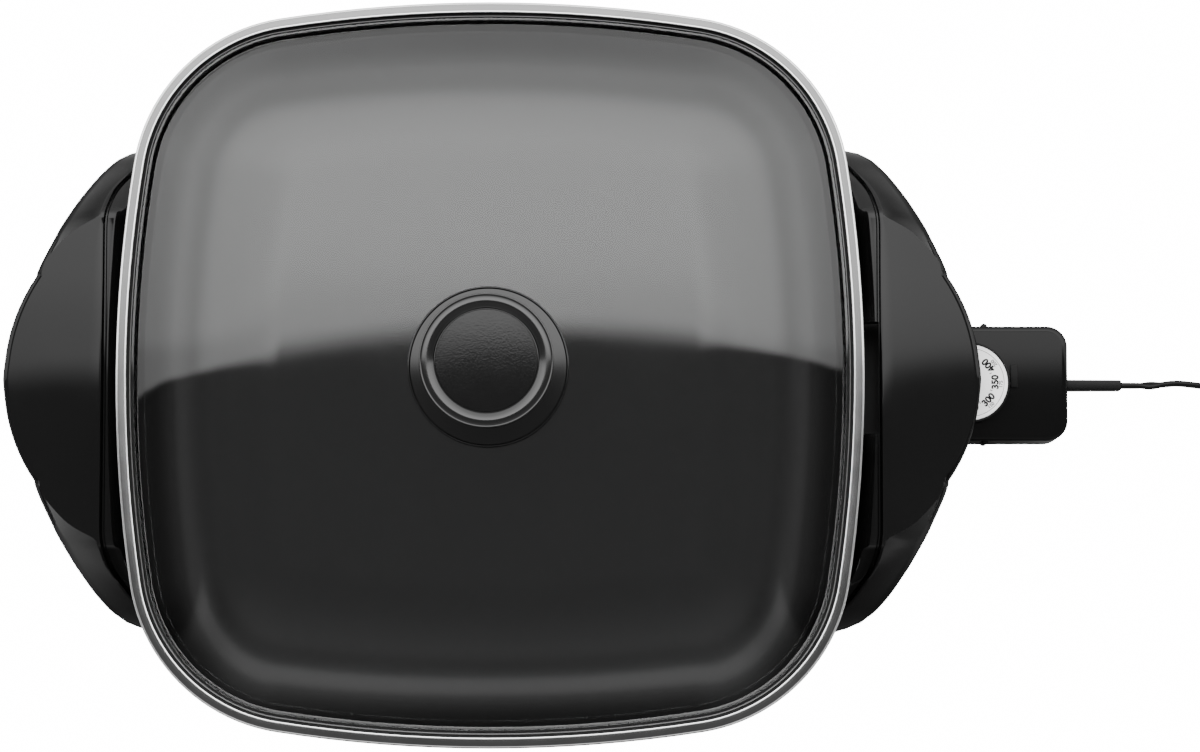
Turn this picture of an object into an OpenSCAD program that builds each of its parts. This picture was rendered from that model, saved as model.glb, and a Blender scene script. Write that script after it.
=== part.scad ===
// Electric skillet with a lift-off glass lid and a plug-in temperature control.
// Millimetres, +Z up, +X towards the control, standing on Z = 0.

/* [Lid] */
// Width of the lid across the middle of its sides
lid_w = 316; // [306:1:326]
// Radius of the lid's corners in plan
corner_r = 74; // [70:1:80]
// Radius of the gently bowed sides in plan
side_r = 584; // [540:1:640]
// Thickness of the glass
glass_t = 4; // [3:0.5:5]
// Height that the glass rises above its flat edge
glass_rise = 28.5; // [24:0.5:34]
// Radius of the glass shoulder in section
shoulder_r = 66; // [60:1:72]
// Width of the steel rim seen from above
rim_w = 4.6; // [4:0.1:6]
// Thickness of the rim's steel sheet
rim_t = 0.9; // [0.6:0.1:1.2]
// Outer roll radius of the steel rim
rim_roll = 1.6; // [1.3:0.1:2]
// Depth of the rim's skirt below the top of the pan
skirt_drop = 2.5; // [1.5:0.5:3]
// Thickness of the silicone seal above and below the glass
seal_t = 1.1; // [0.8:0.1:1.4]
// Width of the seal's lip that shows inside the rim
seal_lip = 1.1; // [0.6:0.1:1.6]

/* [Knob] */
// Radius of the knob's base flange
base_r = 33.5; // [30:0.5:36]
// Radius of the grip at its shoulder
grip_r = 27; // [25:0.5:29]
// Radius of the grip's flat top disc, inside its lip
grip_top_r = 21.2; // [20:0.2:22]
// Depth that the grip's top disc lies below its lip
lip_h = 1.1; // [0.8:0.1:1.6]
// Height of the knob above the glass
knob_h = 33; // [30:0.5:38]
// Height of the base flange with its neck
base_h = 12; // [11:0.5:13]
// Radius of the neck between base and grip
neck_r = 15; // [13:0.5:17]
// Radius of the knob screw
knob_screw_r = 2.4; // [2:0.1:3]

/* [Pan] */
// Height of the pan's rim above the table
pan_rim_z = 93; // [88:1:100]
// Depth of the pan inside
pan_depth = 52; // [48:1:54]
// Thickness of the cast wall and floor
wall_t = 4; // [3:0.5:5]
// Lean of the wall from upright, in degrees
wall_lean = 12; // [8:1:14]
// Inside radius between wall and floor
pan_fillet = 18; // [14:1:20]
// Width of the pan's rim from the lid's edge inwards
pan_rim_w = 10.4; // [9.5:0.1:12]

/* [Heating] */
// Height of the probe and the terminals above the table
axis_z = 31; // [30:0.5:32]
// Radius of the heating element's tube
element_r = 3.4; // [3:0.1:4]
// Half the width of the element's loop
loop_half = 90; // [80:1:94]
// Bend radius of the loop's corners
loop_bend = 30; // [25:1:40]
// Distance between the two terminals
terminal_gap = 22; // [20:1:24]
// Radius of a terminal pin
pin_r = 2.3; // [2:0.1:2.6]
// Length of a terminal pin
pin_l = 31; // [28:1:32]
// Radius of the temperature probe
probe_r = 3.2; // [2.5:0.1:3.6]
// Depth that the probe reaches into the pan's casting
probe_depth = 67; // [55:1:70]
// Length of the guard round the terminals
guard_l = 35; // [32:1:37]
// Outer width of the guard
guard_w = 54; // [50:1:56]
// Outer height of the guard
guard_h = 22; // [21:0.5:23]
// Wall of the guard
guard_t = 2; // [1.5:0.25:2.5]

/* [Handles] */
// Gap between the lid's edge and a handle's inner edge, seen from above
wing_gap = 8; // [7:0.5:10]
// Width of a handle's wing at its middle
wing_w = 44; // [42:1:46]
// Height of a handle's inner edge
wing_z = 77; // [74:0.5:80]
// Radius of the handle's outer edge in plan
wing_r = 76; // [72:1:80]
// Width of the way through the right handle's apron, above the terminal guard
apron_way = 48; // [46:1:50]
// Distance between the two feet of a handle
foot_gap = 200; // [194:1:206]
// Distance from the lid's edge in to a foot
foot_in = 5; // [4:0.5:7]
// Radius of a foot pad
foot_r = 6; // [5:0.5:7]
// Distance between the two screws of a handle
screw_gap = 88; // [80:1:92]
// Radius of a handle screw
screw_r = 2; // [1.5:0.1:2.2]

/* [Control] */
// Gap between the terminal guard and the control's housing
control_gap = 4; // [3:0.5:6]
// Length of the control's housing
control_l = 73.6; // [70:0.2:75]
// Width of the control's housing
control_w = 52; // [50:1:56]
// Height of the control's housing
control_h = 27; // [26:0.5:29]
// Radius of the housing's corners in plan
control_r = 9; // [8:0.5:11]
// Radius of the housing's top and bottom edges
control_edge = 2.4; // [1.5:0.1:3]
// Wall of the housing
control_t = 2.5; // [2:0.1:3]
// Distance from the housing's inner end to the dial's axis
dial_in = 30.6; // [28:0.2:34]
// Radius of the dial
dial_r = 17.5; // [16:0.5:19]
// Height of the dial above the housing
dial_h = 5.2; // [4.5:0.1:6]
// Width of the dial's raised rim
dial_rim = 1; // [0.8:0.1:1.6]
// Radius of the dial's shaft
shaft_r = 2.5; // [2:0.1:3]

/* [Cord] */
// Width of the flat twin cord
cord_w = 5.2; // [4.8:0.1:5.6]
// Thickness of the flat twin cord
cord_t = 2.6; // [2.2:0.1:2.8]
// Length of the strain relief outside the housing
relief_l = 24.4; // [20:0.2:30]
// Width of the strain relief seen from above
relief_w = 4.8; // [4.4:0.1:6]
// Radius of the coil's outermost turn
coil_r = 32; // [31:0.5:34]
// Turns in the coil
coil_turns = 3.25; // [2.25, 3.25]
// Step between turns beside each other
coil_step = 3.6; // [3.4:0.1:4]
// Step between the two layers
coil_layer = 5.8; // [5.8:0.1:6.4]
// Width of the tie round the coil
tie_w = 7; // [5:0.5:9]
// Length of the plug's body
plug_l = 24; // [22:1:28]
// Width of the plug's body
plug_w = 22; // [20:0.5:24]
// Length of a plug blade
blade_l = 16; // [15:0.5:18]

/* [Fits] */
// Gap between pieces that move past each other
gap = 0.3; // [0.2:0.05:0.4]
// Radial play of a running fit
play = 0.1; // [0.05:0.01:0.1]
// Side play of the lid's skirt round the pan's rim
skirt_play = 0.5; // [0.4:0.05:0.8]

/* [Hidden] */
$fn = 96;

// The lid's plan: four side arcs and four corner arcs that meet smoothly.
// The corners' centres are rounded, and the side arcs' radius is fitted to them.
half = lid_w / 2;
corner_in = half - corner_r;
arc_reach = side_r - corner_r;
side_wish = side_r - half;
corner_at = round(50 * (sqrt(2 * arc_reach * arc_reach - side_wish * side_wish) - side_wish)) / 100;
side_throw = (2 * corner_at * corner_at - corner_in * corner_in) / (2 * (corner_in - corner_at));
bow_r = half + side_throw;
flare = 0.25;
wedge_x = corner_at * (1 + flare);
wedge_y = corner_at + (corner_at + side_throw) * flare;
side_reach = half - corner_at + 4;

// The handles and the control lie round the pan, and the model's origin is under their middle
wing_edge = half + wing_gap;
wing_tip = wing_edge + wing_w;
foot_x = half - foot_in;
block_face = half - 21;
control_start = block_face + guard_l + control_gap;
control_end = control_start + control_l;
dial_x = control_start + dial_in;
centre_x = (wing_tip - control_end) / 2;

// Heights of the lid
glass_z = pan_rim_z + gap + seal_t;
flange_z = glass_z + glass_t;
glass_top = flange_z + glass_rise;
shoulder_z = glass_top - shoulder_r;
flange_w = rim_w + seal_lip + play;
shoulder_w = flange_w + sqrt(pow(shoulder_r, 2) - pow(shoulder_r - glass_rise, 2));
rim_top = flange_z + seal_t + rim_t;
seal_in = rim_t + play;
glass_in = seal_in + 1.2;
glass_hole = 4.5;
gasket_t = 0.8;
base_z = glass_top + gasket_t;
grip_z = base_z + base_h;
knob_top = glass_top + knob_h;
insert_r = 5.5;
insert_h = 12;
lip_r = grip_top_r + 3;
flank_r = 15;
washer_r = 11;
washer_t = 1.2;
knob_head_r = 5;
knob_head_h = 3.4;

// The pan's section
floor_z = pan_rim_z - pan_depth;
pan_edge = rim_t + skirt_play;
rim_round = 0.8;
pan_rim_t = 3;
fillet_z = floor_z + pan_fillet;
fillet_d = wall_in(fillet_z - pan_fillet * sin(wall_lean)) + pan_fillet * cos(wall_lean);
under_z = floor_z - wall_t;

// The casting under the pan that holds the element, the terminals and the probe
block_l = 37;
block_w = 44;
block_h = 15;
ridge_w = 13;
lead_bend = 18;
terminal_y = terminal_gap / 2;
element_play = play;
boss_r = 6.6;
probe_tip = block_face - probe_depth;
boss_start = probe_tip - 10;
bead_r = 4;
bead_l = 4;
guard_round = 4;
guard_screw_y = 18;
guard_screw_r = 1.5;
guard_screw_l = 9;

// The pan's ears under the handles
ear_r = 11;
ear_t = 6;
ear_z = 60;
screw_x = wing_edge + 8;
boss_top = ear_z + 10;
screw_boss_r = 6;
screw_y = screw_gap / 2;
screw_head_r = 3.8;
screw_head_h = 2.6;

// The handle's form as rows from its middle to one foot
tip_z = wing_z - 9;
kink_y = 44;
arm_y = foot_gap / 2;
foot_h = 1;
wing_centre = wing_tip - wing_r;
groove_h = 2.4;
row_steps = 3;
apron_low = ear_z + 2 * gap;
wing_rows = [
    row(0, [wing_edge, wing_z], [wing_tip - 22, wing_z - 3.4], [wing_tip, tip_z], [11, 10, 14], apron_at(0)),
    row(20, [wing_edge, wing_z], [wing_tip - 22.6, wing_z - 3.2], [wing_out(20), tip_z + 0.4],
        [11, 10, 13.6], apron_at(20)),
    row(36, [wing_edge, wing_z], [wing_tip - 21, wing_z - 3.6], [wing_out(36), tip_z + 1.6],
        [11, 10, 13], apron_at(36)),
    row(kink_y, [wing_edge, wing_z], [wing_tip - 18, wing_z - 4.6], [wing_out(kink_y), tip_z + 2.4],
        [11, 11.5, 14], apron_at(kink_y))
];
arm_rows = [
    wing_rows[3],
    row(50, [wing_edge, wing_z], [wing_tip - 18.5, wing_z - 4.8], [wing_tip - 15.6, tip_z - 1],
        [12, 13, 19], apron_at(50)),
    row(62, [wing_edge, wing_z], [wing_tip - 29, wing_z - 2.8], [wing_tip - 20.6, tip_z - 7.5],
        [14, 18, 26], apron_at(62)),
    row(70, [wing_edge - 0.4, wing_z - 0.8], [wing_edge + 3, wing_z - 1.8], [wing_tip - 24.6, tip_z - 11.5],
        [18, 24, 31], apron_at(70) - [0.6, 1.6]),
    row(arm_y - 20, [foot_x + 10.2, wing_z - 9], [foot_x + 18.6, 61.5], [foot_x + 27, 50],
        [31, 34, 39], [foot_x - 0.5, 56]),
    row(arm_y - 12, [foot_x + 5.4, 59], [foot_x + 13, 53], [foot_x + 21.8, 44],
        [46, 48, 51], [foot_x - 3, 49]),
    row(arm_y - 7, [foot_x + 2, 52], [foot_x + 9.6, 47], [foot_x + 18.3, 39.5],
        [wing_z, wing_z, wing_z], [foot_x - 4.5, 44]),
    row(arm_y, [foot_x - 4, 42], [foot_x + 3, 38.5], [foot_x + 11.4, 33],
        [wing_z, wing_z, wing_z], [foot_x - 7.5, 36]),
    row(arm_y + 4.5, [foot_x - 7, 30], [foot_x - 2, 28], [foot_x + 4.5, 22],
        [wing_z, wing_z, wing_z], [foot_x - 9, 26]),
    row(arm_y + 7, [foot_x - 9, 12], [foot_x - 6, 11], [foot_x - 2.6, 8],
        [wing_z, wing_z, wing_z], [foot_x - 10, 10])
];

// The control
control_z0 = axis_z - control_h / 2;
control_z1 = axis_z + control_h / 2;
inner_edge = 0.8;
nose_depth = 22;
nose_start = block_face + guard_l - nose_depth;
nose_end = control_start + 6;
nose_w = 34;
nose_h = 15;
sleeve_r = pin_r + play + 1;
sleeve_l = 22;
frame_w = 20;
frame_end = dial_x + 11;
probe_end = dial_x - shaft_r - 3;
blade_t = 1;
shaft_foot = axis_z + 2;
dial_z = control_z1 + gap;
dial_top = control_z1 + dial_h;
plate_t = 0.6;
boss_in = control_r + 0.5;
post_r = 3.4;
post_screw_r = 1.3;
post_head_r = 2.5;
post_head_h = 2;
post_grip = 8;
index_l = 3.4;
index_w = 10;
index_h = 1.2;
pip_r = 1.5;
pip_x = dial_x + 7;

// The cord's route down to the table, with x counted from the end of the strain relief, and its coil
relief_end = control_end + relief_l;
relief_in = 5;
relief_h0 = 11;
relief_h1 = 7.6;
cord_route = [
    [0, 0, 31], [6, 0, 31], [12, 0, 31], [18, 0.4, 31], [24, 1, 31], [30, 0.6, 30.4], [36, 0, 28.8],
    [42, -0.8, 26], [47, -1.8, 22.8], [52, -2.8, 19], [57, -4, 15], [62, -5.4, 11.4], [67, -7, 8.2],
    [72, -8.5, 5.8], [77, -9.6, 4.3], [82, -10, 3.6]
];
coil_x = 87.2;
coil_y = -42;
coil_dip = 3;
tie_t = 0.6;
tie_gap = 0.4;
coil_z = cord_w / 2 + tie_t + tie_gap;
loop_rings = 24;
coil_rings = round(coil_turns * loop_rings);
coil_points = concat(
    [[coil_x - cord_w, coil_y + coil_r, coil_z]],
    [for (i = [0:coil_rings]) coil_point(i * coil_turns / coil_rings)],
    [[coil_x + coil_r, coil_y - cord_w, coil_z + coil_layer]]
);
tie_at = coil_turns - 0.5;
tie_in = norm(coil_flat(tie_at - 1)) - cord_t / 2 - 3.5 * tie_gap;
tie_out = norm(coil_flat(tie_at)) + cord_t / 2 + 2 * tie_gap;
plug_z = coil_z + coil_layer;
plug_start = coil_y - cord_w;
plug_relief = 26;
plug_round = 4;
blade_gap = 12.7;
blade_w = 6.3;
plug_blade_t = 1.5;

// Points of an arc from angle a0 to a1 in n steps
function arc(cx, cy, r, a0, a1, n) = [
    for (i = [0:n])
        let (a = a0 + (a1 - a0) * i / n)
        [cx + r * cos(a), cy + r * sin(a)]
];

// Outline of a rectangle with rounded corners, centred on the origin
function rounded(w, h, r) = concat(
    arc(w / 2 - r, h / 2 - r, r, 0, 90, 6),
    arc(r - w / 2, h / 2 - r, r, 90, 180, 6),
    arc(r - w / 2, r - h / 2, r, 180, 270, 6),
    arc(w / 2 - r, r - h / 2, r, 270, 360, 6)
);

// Distance from the lid's edge to the pan's wall at a height, inside and outside
function wall_in(z) = pan_rim_w + (pan_rim_z - 1 - z) * tan(wall_lean);
function wall_out(z) = wall_in(z) - wall_t / cos(wall_lean);

// Distance that the bowed side has fallen back at a distance along it
function side_sag(y) = bow_r - sqrt(bow_r * bow_r - y * y);

// The handle's round outer edge in plan
function wing_out(y) = wing_centre + sqrt(wing_r * wing_r - y * y);

// The apron's edge beside the lid, which follows the lid's bowed side
function apron_at(y) = [half - 0.6 - side_sag(y), apron_low + 2];

// One row of a handle: y, then x and z of its inner edge, crease and outer edge, then how far the
// underside lies below the wing's height under those three, and x and z of the apron's edge by the lid
function row(y, inner, crease, outer, under, apron) = concat([y], inner, crease, outer, under, apron);
function mirrored(r) = [for (i = [0:len(r) - 1]) i == 0 ? -r[i] : r[i]];

// A point on a smooth curve from b to c, with a and d as the points before and after them
function spline(a, b, c, d, t) =
    b + (c - a) * t / 2 + (a - 2.5 * b + 2 * c - d / 2) * t * t + (1.5 * (b - c) + (d - a) / 2) * t * t * t;

// The given rows with others between them on smooth curves, without the last row
function filled(rows) = [
    for (i = [0:len(rows) - 2], k = [0:row_steps - 1])
        spline(rows[max(i - 1, 0)], rows[i], rows[i + 1], rows[min(i + 2, len(rows) - 1)], k / row_steps)
];

// A point on the coil: it spirals in, climbs a layer where it reverses and spirals out
function climb(t) = max(0, min(1, (t - coil_turns / 2) * 2 + 0.5));
function smooth(u) = u * u * (3 - 2 * u);
function coil_point(t) =
    let (
        u = climb(t),
        r = coil_r - coil_step * min(t, coil_turns - t) - coil_dip * pow(sin(180 * u), 2),
        a = 90 - 360 * t
    )
    [coil_x + r * cos(a), coil_y + r * sin(a), coil_z + coil_layer * smooth(u)];

// A coil point seen from above, from the coil's middle
function coil_flat(t) = [coil_point(t)[0] - coil_x, coil_point(t)[1] - coil_y];

function unit(v) = v / norm(v);

// Direction of a route at one of its points
function heading(route, i) =
    unit(route[min(i + 1, len(route) - 1)] - route[max(i - 1, 0)]);

// One ring of the flat cord, standing on its edge
function cord_ring(p, along, outline) =
    let (
        across = unit(cross([0, 0, 1], along)),
        up = cross(along, across)
    )
    [for (q = outline) p + q[0] * across + q[1] * up];

// Triangles that close the skin of rings with n points each
function skin_faces(rings, n) = concat(
    [
        for (i = [0:rings - 2], j = [0:n - 1])
            [i * n + j, (i + 1) * n + j, i * n + (j + 1) % n]
    ],
    [
        for (i = [0:rings - 2], j = [0:n - 1])
            [(i + 1) * n + j, (i + 1) * n + (j + 1) % n, i * n + (j + 1) % n]
    ],
    [for (j = [1:n - 2]) [0, j, j + 1]],
    [for (j = [1:n - 2]) [(rings - 1) * n, (rings - 1) * n + j + 1, (rings - 1) * n + j]]
);

cord_outline_8 = [
    for (a = [22.5:45:337.5]) [cord_t / 2 * cos(a) / cos(22.5), cord_w / 2 * sin(a) / cos(22.5)]
];
cord_outline_6 = [
    for (a = [30:60:330]) [cord_t / 2 * cos(a) / cos(30), cord_w / 2 * sin(a)]
];

// Least gap between turns of the coil, measured between the corners of its rings
coil_corners = [
    for (i = [0:len(coil_points) - 1])
        cord_ring(coil_points[i], heading(coil_points, i), cord_outline_6)
];
coil_gap = min([
    for (i = [0:len(coil_points) - 1], j = [i + 6:1:len(coil_points) - 1])
        if (norm(coil_points[i] - coil_points[j]) < 2 * cord_w)
            for (a = coil_corners[i], b = coil_corners[j]) norm(a - b)
]);
echo(least_gap_between_turns_of_the_coil = coil_gap);

module placed() translate([centre_x, 0, 0]) children();
module by_relief() translate([centre_x + relief_end, 0, 0]) children();

// Moves something in three steps of falling size, so that a long length keeps all of its digits
module shifted(v) {
    whole = [for (x = v) floor(x)];
    part = [for (x = v) floor(1000 * (x - floor(x))) / 1000];
    translate(whole)
        translate(part)
            translate(v - whole - part)
                children();
}

// Sweeps a section, drawn as [distance in from the lid's edge, height], round the lid's plan.
// A section that fills the middle reads $reach, how far in it may go.
module around()
    for (turn = [0:90:270])
        rotate([0, 0, turn]) {
            intersection() {
                shifted([0, -side_throw, 0])
                    rotate_extrude(angle = 180, $fn = 1440)
                        shifted([bow_r, 0])
                            mirror([1, 0])
                                let ($reach = side_reach) children();
                linear_extrude(2 * knob_top)
                    polygon([
                        [-corner_at, corner_at], [corner_at, corner_at],
                        [wedge_x, wedge_y], [-wedge_x, wedge_y]
                    ]);
            }
            intersection() {
                shifted([corner_at, corner_at, 0])
                    rotate_extrude(angle = 90, $fn = 180)
                        shifted([corner_r, 0])
                            mirror([1, 0])
                                let ($reach = corner_r) children();
                linear_extrude(2 * knob_top)
                    polygon([
                        [corner_at, corner_at], [wedge_x, wedge_y],
                        [wedge_y, wedge_y], [wedge_y, wedge_x]
                    ]);
            }
        }

// A flat plate that fills the middle of a swept piece
module core(z0, t)
    translate([0, 0, z0])
        linear_extrude(t)
            polygon([
                [-corner_at, -corner_at], [corner_at, -corner_at],
                [corner_at, corner_at], [-corner_at, corner_at]
            ]);

// Runs a section along the element's loop and its two leads
module along_element() {
    inner = loop_half - loop_bend;
    turn_x = loop_half + lead_bend;
    turn_y = terminal_y + lead_bend;
    for (side = [0, 1])
        mirror([0, side, 0]) {
            run([block_face, terminal_y], 180, block_face - turn_x) children();
            translate([turn_x, turn_y, axis_z])
                rotate([0, 0, 180])
                    rotate_extrude(angle = 90)
                        translate([lead_bend, 0])
                            children();
            run([loop_half, turn_y], 90, inner - turn_y) children();
            translate([inner, inner, axis_z])
                rotate_extrude(angle = 90)
                    translate([loop_bend, 0])
                        children();
            translate([-inner, inner, axis_z])
                rotate([0, 0, 90])
                    rotate_extrude(angle = 90)
                        translate([loop_bend, 0])
                            children();
        }
    run([inner, loop_half], 180, 2 * inner) children();
    run([inner, -loop_half], 180, 2 * inner) children();
    run([-loop_half, -inner], 90, 2 * inner) children();
}

// One straight stretch of a section from a point along a heading
module run(from, direction, l)
    translate([from[0], from[1], axis_z])
        rotate([0, 0, direction])
            rotate([90, 0, 90])
                linear_extrude(l)
                    children();

// A rod along X
module rod_x(x, y, z, r, l)
    translate([x, y, z])
        rotate([0, 90, 0])
            cylinder(r = r, h = l);

// A block with round corners in plan and rounded top and bottom edges
module rounded_block(x0, x1, w, z0, z1, r, edge) {
    h = z1 - z0;
    mid_z = (z0 + z1) / 2;
    translate([x0 + r, 0, mid_z])
        rotate([90, 0, 90])
            linear_extrude(x1 - x0 - 2 * r)
                polygon(rounded(w, h, edge));
    translate([(x0 + x1) / 2, w / 2 - r, mid_z])
        rotate([90, 0, 0])
            linear_extrude(w - 2 * r)
                polygon(rounded(x1 - x0, h, edge));
    corners = [
        [x1 - r, w / 2 - r, 0], [x0 + r, w / 2 - r, 90], [x0 + r, r - w / 2, 180], [x1 - r, r - w / 2, 270]
    ];
    for (corner = corners)
        translate([corner[0], corner[1], mid_z])
            rotate([0, 0, corner[2]])
                rotate_extrude(angle = 90)
                    polygon(concat(
                        [[0, -h / 2]],
                        arc(r - edge, edge - h / 2, edge, 270, 360, 6),
                        arc(r - edge, h / 2 - edge, edge, 0, 90, 6),
                        [[0, h / 2]]
                    ));
}

// Places something at the four post positions inside the control
module at_posts()
    for (x = [control_start + boss_in, control_end - boss_in], y = [-1, 1] * (control_w / 2 - boss_in))
        translate([x, y, 0])
            children();

module pan_section()
    polygon(concat(
        [
            [pan_edge, pan_rim_z - pan_rim_t],
            [pan_edge, pan_rim_z - rim_round],
            [pan_edge + rim_round, pan_rim_z],
            [pan_rim_w - 1, pan_rim_z],
            [pan_rim_w, pan_rim_z - 1]
        ],
        arc(fillet_d, fillet_z, pan_fillet, 180 + wall_lean, 270, 8),
        [[$reach, floor_z], [$reach, under_z]],
        arc(fillet_d, fillet_z, pan_fillet + wall_t, 270, 180 + wall_lean, 8),
        [[wall_out(pan_rim_z - pan_rim_t - 0.6), pan_rim_z - pan_rim_t - 0.6]]
    ));

// An ear of the casting that a handle is screwed to, with the ear's mirror images
module ears() {
    root = half - side_sag(screw_y) - wall_in(ear_z) + wall_t / 2;
    for (x = [0, 1], y = [0, 1])
        mirror([x, 0, 0])
            mirror([0, y, 0])
                translate([0, screw_y, ear_z - ear_t]) {
                    translate([screw_x, 0, 0])
                        cylinder(r = ear_r, h = ear_t);
                    translate([root, -ear_r, 0])
                        cube([screw_x - root, 2 * ear_r, ear_t]);
                }
}

module at_handle_screws()
    for (x = [-screw_x, screw_x], y = [-screw_y, screw_y])
        translate([x, y, 0])
            children();

module pan()
    color("#1c1c1d")
        placed()
            difference() {
                union() {
                    around() pan_section();
                    core(under_z, wall_t);
                    along_element()
                        translate([-ridge_w / 2, 0])
                            square([ridge_w, under_z - axis_z + wall_t / 4]);
                    translate([block_face - block_l, -block_w / 2, axis_z - block_h / 2])
                        cube([block_l, block_w, block_h + 1]);
                    rod_x(boss_start, 0, axis_z, boss_r, block_face - boss_start);
                    ears();
                }
                along_element() circle(element_r + element_play);
                rod_x(probe_tip - 3, 0, axis_z, probe_r + gap, probe_depth + 4);
                for (y = [-guard_screw_y, guard_screw_y])
                    rod_x(block_face - guard_screw_l, y, axis_z, guard_screw_r + play, guard_screw_l + 1);
                at_handle_screws()
                    translate([0, 0, ear_z - ear_t - 1])
                        cylinder(r = screw_r + gap, h = ear_t + 2);
            }

module heating_element()
    color("#8a8378")
        placed()
            along_element() circle(element_r);

module terminal_pins()
    color("#c9ccd0")
        placed()
            for (y = [-terminal_y, terminal_y]) {
                rod_x(block_face, y, axis_z, pin_r, pin_l - pin_r);
                translate([block_face + pin_l - pin_r, y, axis_z]) sphere(r = pin_r);
            }

module terminal_insulators()
    color("#e6e1d6")
        placed()
            for (y = [-terminal_y, terminal_y])
                difference() {
                    rod_x(block_face, y, axis_z, bead_r, bead_l);
                    rod_x(block_face - 1, y, axis_z, pin_r + play, bead_l + 2);
                }

module terminal_guard()
    color("#202022")
        placed()
            difference() {
                translate([block_face, 0, axis_z])
                    rotate([90, 0, 90])
                        linear_extrude(guard_l)
                            polygon(rounded(guard_w, guard_h, guard_round));
                translate([block_face + guard_t, 0, axis_z])
                    rotate([90, 0, 90])
                        linear_extrude(guard_l)
                            polygon(rounded(
                                guard_w - 2 * guard_t, guard_h - 2 * guard_t, guard_round - guard_t
                            ));
                rod_x(block_face - 1, 0, axis_z, probe_r + 2 * gap, guard_t + 2);
                for (y = [-terminal_y, terminal_y])
                    rod_x(block_face - 1, y, axis_z, bead_r + gap, guard_t + 2);
                for (y = [-guard_screw_y, guard_screw_y])
                    rod_x(block_face - 1, y, axis_z, guard_screw_r + play, guard_t + 2);
            }

module guard_screws()
    color("#b9bcc0")
        placed()
            for (y = [-guard_screw_y, guard_screw_y]) {
                rod_x(block_face - guard_screw_l + 1, y, axis_z, guard_screw_r, guard_screw_l - 1 + guard_t);
                rod_x(block_face + guard_t, y, axis_z, 2 * guard_screw_r, guard_screw_r);
            }

// One ring of the handle's skin, from a row: the rounded apron, the groove beside the wing, the wing's
// inner edge, its top, its outer edge and its underside
function handle_ring(r) =
    let (
        inner_x = r[1], inner_z = r[2], crease_x = r[3], crease_z = r[4], outer_x = r[5], outer_z = r[6],
        under = [for (i = [7:9]) max(foot_h, wing_z - r[i])],
        apron_x = r[10], apron_z = r[11],
        groove_x = inner_x - 0.2, groove_z = inner_z - groove_h,
        ring = [
            [apron_x + 1.4, max(foot_h, apron_z - 2)],
            [apron_x, apron_z],
            [apron_x + 0.15 * (groove_x - apron_x), apron_z + 0.44 * (groove_z - apron_z)],
            [apron_x + 0.45 * (groove_x - apron_x), apron_z + 0.8 * (groove_z - apron_z)],
            [groove_x, groove_z],
            [inner_x + 0.4, inner_z - 0.7],
            [inner_x + 1.6, inner_z],
            [(inner_x + 1.6 + crease_x) / 2, (inner_z + crease_z) / 2 + 0.2],
            [crease_x, crease_z],
            [(crease_x + outer_x - 2) / 2, (crease_z + outer_z + 1) / 2 + 0.3],
            [outer_x - 2, outer_z + 1],
            [outer_x - 0.5, outer_z - 0.2],
            [outer_x, outer_z - 1.6],
            [outer_x - 2.5, under[2]],
            [(inner_x + outer_x) / 2, under[1]],
            [inner_x + 1.5, under[0]]
        ]
    )
    [for (q = ring) [q[0], r[0], q[1]]];

// A handle moulding: the wing, its apron by the lid, its two arms down to the feet and the bosses for its
// screws, with a way through the apron of the given width
module handle(way_w) {
    rows = concat(
        filled([for (i = [len(arm_rows) - 1:-1:0]) mirrored(arm_rows[i])]),
        filled(concat([for (i = [len(wing_rows) - 1:-1:1]) mirrored(wing_rows[i])], wing_rows)),
        filled(arm_rows),
        [arm_rows[len(arm_rows) - 1]]
    );
    rings = [for (r = rows) handle_ring(r)];
    difference() {
        union() {
            polyhedron([for (ring = rings, p = ring) p], skin_faces(len(rings), len(rings[0])));
            for (y = [-screw_y, screw_y])
                translate([screw_x, y, ear_z])
                    cylinder(r = screw_boss_r, h = boss_top - ear_z);
            for (y = [-arm_y, arm_y])
                translate([foot_x, y, 0])
                    cylinder(r = foot_r, h = foot_h + 4);
        }
        for (y = [-screw_y, screw_y])
            translate([screw_x, y, ear_z - 1])
                cylinder(r = screw_r + play, h = boss_top - ear_z);
        if (way_w > 0)
            translate([half - 2, -way_w / 2, ear_z])
                cube([wing_gap + 1.6, way_w, wing_z - ear_z]);
    }
}

module right_handle()
    color("#1d1d1f")
        placed()
            handle(apron_way);

module left_handle()
    color("#1d1d1f")
        placed()
            mirror([1, 0, 0])
                handle(0);

module handle_screws()
    color("#b9bcc0")
        placed()
            at_handle_screws() {
                translate([0, 0, ear_z - ear_t])
                    cylinder(r = screw_r, h = ear_t + boss_top - ear_z - 2);
                translate([0, 0, ear_z - ear_t - screw_head_h])
                    cylinder(r = screw_head_r, h = screw_head_h);
            }

module lid_glass()
    color("#5f666a")
        placed()
            difference() {
                union() {
                    around()
                        polygon(concat(
                            arc(shoulder_w, shoulder_z, shoulder_r,
                                180 - asin((flange_z - shoulder_z) / shoulder_r), 90, 14),
                            [[$reach, glass_top], [$reach, glass_top - glass_t]],
                            arc(shoulder_w, shoulder_z, shoulder_r - glass_t,
                                90, 180 - asin((glass_z - shoulder_z) / (shoulder_r - glass_t)), 14),
                            [[glass_in, glass_z], [glass_in, flange_z]]
                        ));
                    core(glass_top - glass_t, glass_t);
                }
                translate([0, 0, glass_top - glass_t - 1])
                    cylinder(r = glass_hole, h = glass_t + 2);
            }

module lid_rim()
    color("#c8cacc")
        placed()
            around()
                polygon(concat(
                    [[0, pan_rim_z - skirt_drop]],
                    arc(rim_roll, rim_top - rim_roll, rim_roll, 180, 90, 5),
                    [[rim_w, rim_top], [rim_w, rim_top - rim_t]],
                    arc(rim_roll, rim_top - rim_roll, rim_roll - rim_t, 90, 180, 4),
                    [[rim_t, pan_rim_z - skirt_drop]]
                ));

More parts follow.
